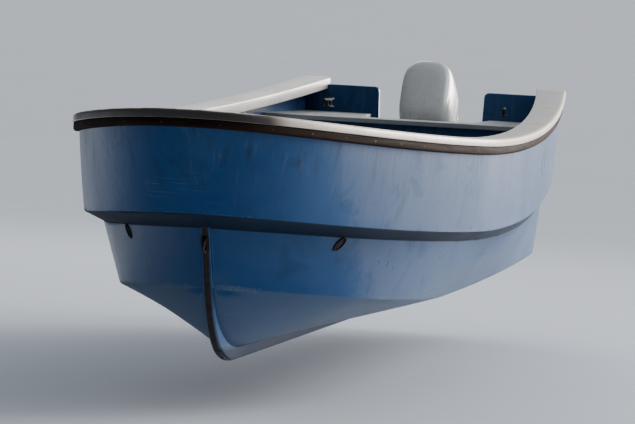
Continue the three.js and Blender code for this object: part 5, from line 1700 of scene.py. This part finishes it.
class SkiffSizes(bpy.types.PropertyGroup):
    """Sizes of the finishing details and the framing."""

    edge_round: bpy.props.FloatProperty(
        name="Edge radius", description="Radius of the rounded edges of decks and thwarts",
        default=0.004, unit="LENGTH")
    screw_pitch: bpy.props.FloatProperty(
        name="Screw pitch", description="Distance between the screws of the rub strakes",
        default=0.24, unit="LENGTH")
    nonslip_pitch: bpy.props.FloatProperty(
        name="Grip pitch", description="Distance between the ridges of the deck's grip pattern",
        default=0.018, unit="LENGTH")
    wear: bpy.props.FloatProperty(
        name="Wear", description="How strongly stains, scuffs and chips show",
        default=1.0, min=0, max=1, subtype="FACTOR")
    enlargement: bpy.props.FloatProperty(
        name="Enlargement", description="How many times longer the lens is than the photograph's",
        default=4.6, min=1)
    aim_across: bpy.props.FloatProperty(
        name="Aim across", description="Column of the photograph that the camera is turned to", default=323.0)
    aim_down: bpy.props.FloatProperty(
        name="Aim down", description="Row of the photograph that the camera is turned to", default=250.0)


class SkiffColours(bpy.types.PropertyGroup):
    """Base colours of the finishes."""

    hull: colour_choice("Hull", "Blue of the outer gelcoat", (0.012, 0.079, 0.222))
    liner: colour_choice("Liner", "Pale grey of the inside", (0.56, 0.58, 0.59))
    deck: colour_choice("Decks", "Pale grey of the non-slip", (0.50, 0.52, 0.53))
    cap: colour_choice("Gunwale", "Cream of the gunwale cap", (0.61, 0.56, 0.49))
    strake: colour_choice("Rub strake", "Brown of the timber strip", (0.019, 0.012, 0.010))
    motor: colour_choice("Motor", "Dark grey of the motor's castings", (0.055, 0.062, 0.070))
    cowl: colour_choice("Motor cover", "Pale grey of the motor's cover", (0.62, 0.64, 0.65))
    floor: colour_choice("Floor", "Tone of the studio floor", (0.66, 0.71, 0.78))
    air: colour_choice("Air", "Tone of the light all round", (0.84, 0.88, 0.93))
    glow: colour_choice("Glow", "Tone of the bright sky low on the port quarter", (1.0, 0.93, 0.87))
    lamps: colour_choice("Lamps", "Tone of the lamps", (1.0, 0.985, 0.96))


class SKIFF_OT_hull(bpy.types.Operator):
    """Builds the hull moulding, the transom, the keel with the stem, and the stem strap"""

    bl_idname = "skiff.hull"
    bl_label = "Hull"

    def execute(self, context):
        build_hull_shell()
        build_transom()
        build_keel()
        build_stem_band()
        return {"FINISHED"}


class SKIFF_OT_rails(bpy.types.Operator):
    """Builds the gunwale cap and the rub strake with its screws"""

    bl_idname = "skiff.rails"
    bl_label = "Rails"

    def execute(self, context):
        build_rails(context.scene.skiff_sizes)
        return {"FINISHED"}


class SKIFF_OT_decks(bpy.types.Operator):
    """Builds the sole, the foredeck and the aft deck"""

    bl_idname = "skiff.decks"
    bl_label = "Decks"

    def execute(self, context):
        build_sole()
        build_foredeck(context.scene.skiff_sizes)
        build_aft_deck(context.scene.skiff_sizes)
        return {"FINISHED"}


class SKIFF_OT_linings(bpy.types.Operator):
    """Builds the bulkheads, the splash well, the thwarts with their posts, and the side frames"""

    bl_idname = "skiff.linings"
    bl_label = "Inside"

    def execute(self, context):
        build_bulkhead("foredeck_bulkhead", FOREDECK["end"] - FOREDECK["overhang"] - PANEL, FOREDECK)
        build_bulkhead("aft_bulkhead", AFT_DECK["from"] + AFT_DECK["overhang"], AFT_DECK)
        build_splash_well()
        for name in THWARTS:
            build_thwart(name, context.scene.skiff_sizes)
        build_side_frames()
        return {"FINISHED"}


class SKIFF_OT_fittings(bpy.types.Operator):
    """Builds the bow hatch with its hinge, the bow eye, the scuppers, the cleats and the motor pad"""

    bl_idname = "skiff.fittings"
    bl_label = "Fittings"

    def execute(self, context):
        for build in (build_hatch, build_bow_eye, build_scuppers, build_cleats, build_motor_pad):
            build()
        return {"FINISHED"}


class SKIFF_OT_motor(bpy.types.Operator):
    """Builds the motor: clamp, swivel, leg, pan, cover, gearcase, propeller and tiller"""

    bl_idname = "skiff.motor"
    bl_label = "Motor"

    def execute(self, context):
        for build in (build_clamp, build_swivel, build_leg, build_cowls, build_gearcase, build_propeller,
                      build_tiller):
            build()
        return {"FINISHED"}


class SKIFF_OT_stage(bpy.types.Operator):
    """Builds the floor, the lights and the camera"""

    bl_idname = "skiff.stage"
    bl_label = "Stage"

    def execute(self, context):
        build_floor(context.scene.skiff_colours)
        build_lights(context.scene.skiff_colours)
        build_camera(context.scene.skiff_sizes)
        return {"FINISHED"}


OPERATORS = (SKIFF_OT_hull, SKIFF_OT_rails, SKIFF_OT_decks, SKIFF_OT_linings, SKIFF_OT_fittings,
             SKIFF_OT_motor, SKIFF_OT_stage)


class SKIFF_PT_panel(bpy.types.Panel):
    """Lists the skiff's pieces and its settings"""

    bl_label = "Work skiff"
    bl_space_type = "VIEW_3D"
    bl_region_type = "UI"
    bl_category = "Skiff"

    def draw(self, context):
        for operator in OPERATORS:
            self.layout.operator(operator.bl_idname)
        for group in (context.scene.skiff_sizes, context.scene.skiff_colours):
            for name in group.__annotations__:
                self.layout.prop(group, name)


CLASSES = (SkiffSizes, SkiffColours, *OPERATORS, SKIFF_PT_panel)


def register():
    for cls in CLASSES:
        bpy.utils.register_class(cls)
    bpy.types.Scene.skiff_sizes = bpy.props.PointerProperty(type=SkiffSizes)
    bpy.types.Scene.skiff_colours = bpy.props.PointerProperty(type=SkiffColours)


def unregister():
    del bpy.types.Scene.skiff_sizes
    del bpy.types.Scene.skiff_colours
    for cls in reversed(CLASSES):
        bpy.utils.unregister_class(cls)


def main():
    register()
    for name in ("hull", "rails", "decks", "linings", "fittings", "motor", "stage"):
        getattr(bpy.ops.skiff, name)()
    bpy.context.view_layer.update()


if __name__ == "__main__":
    main()
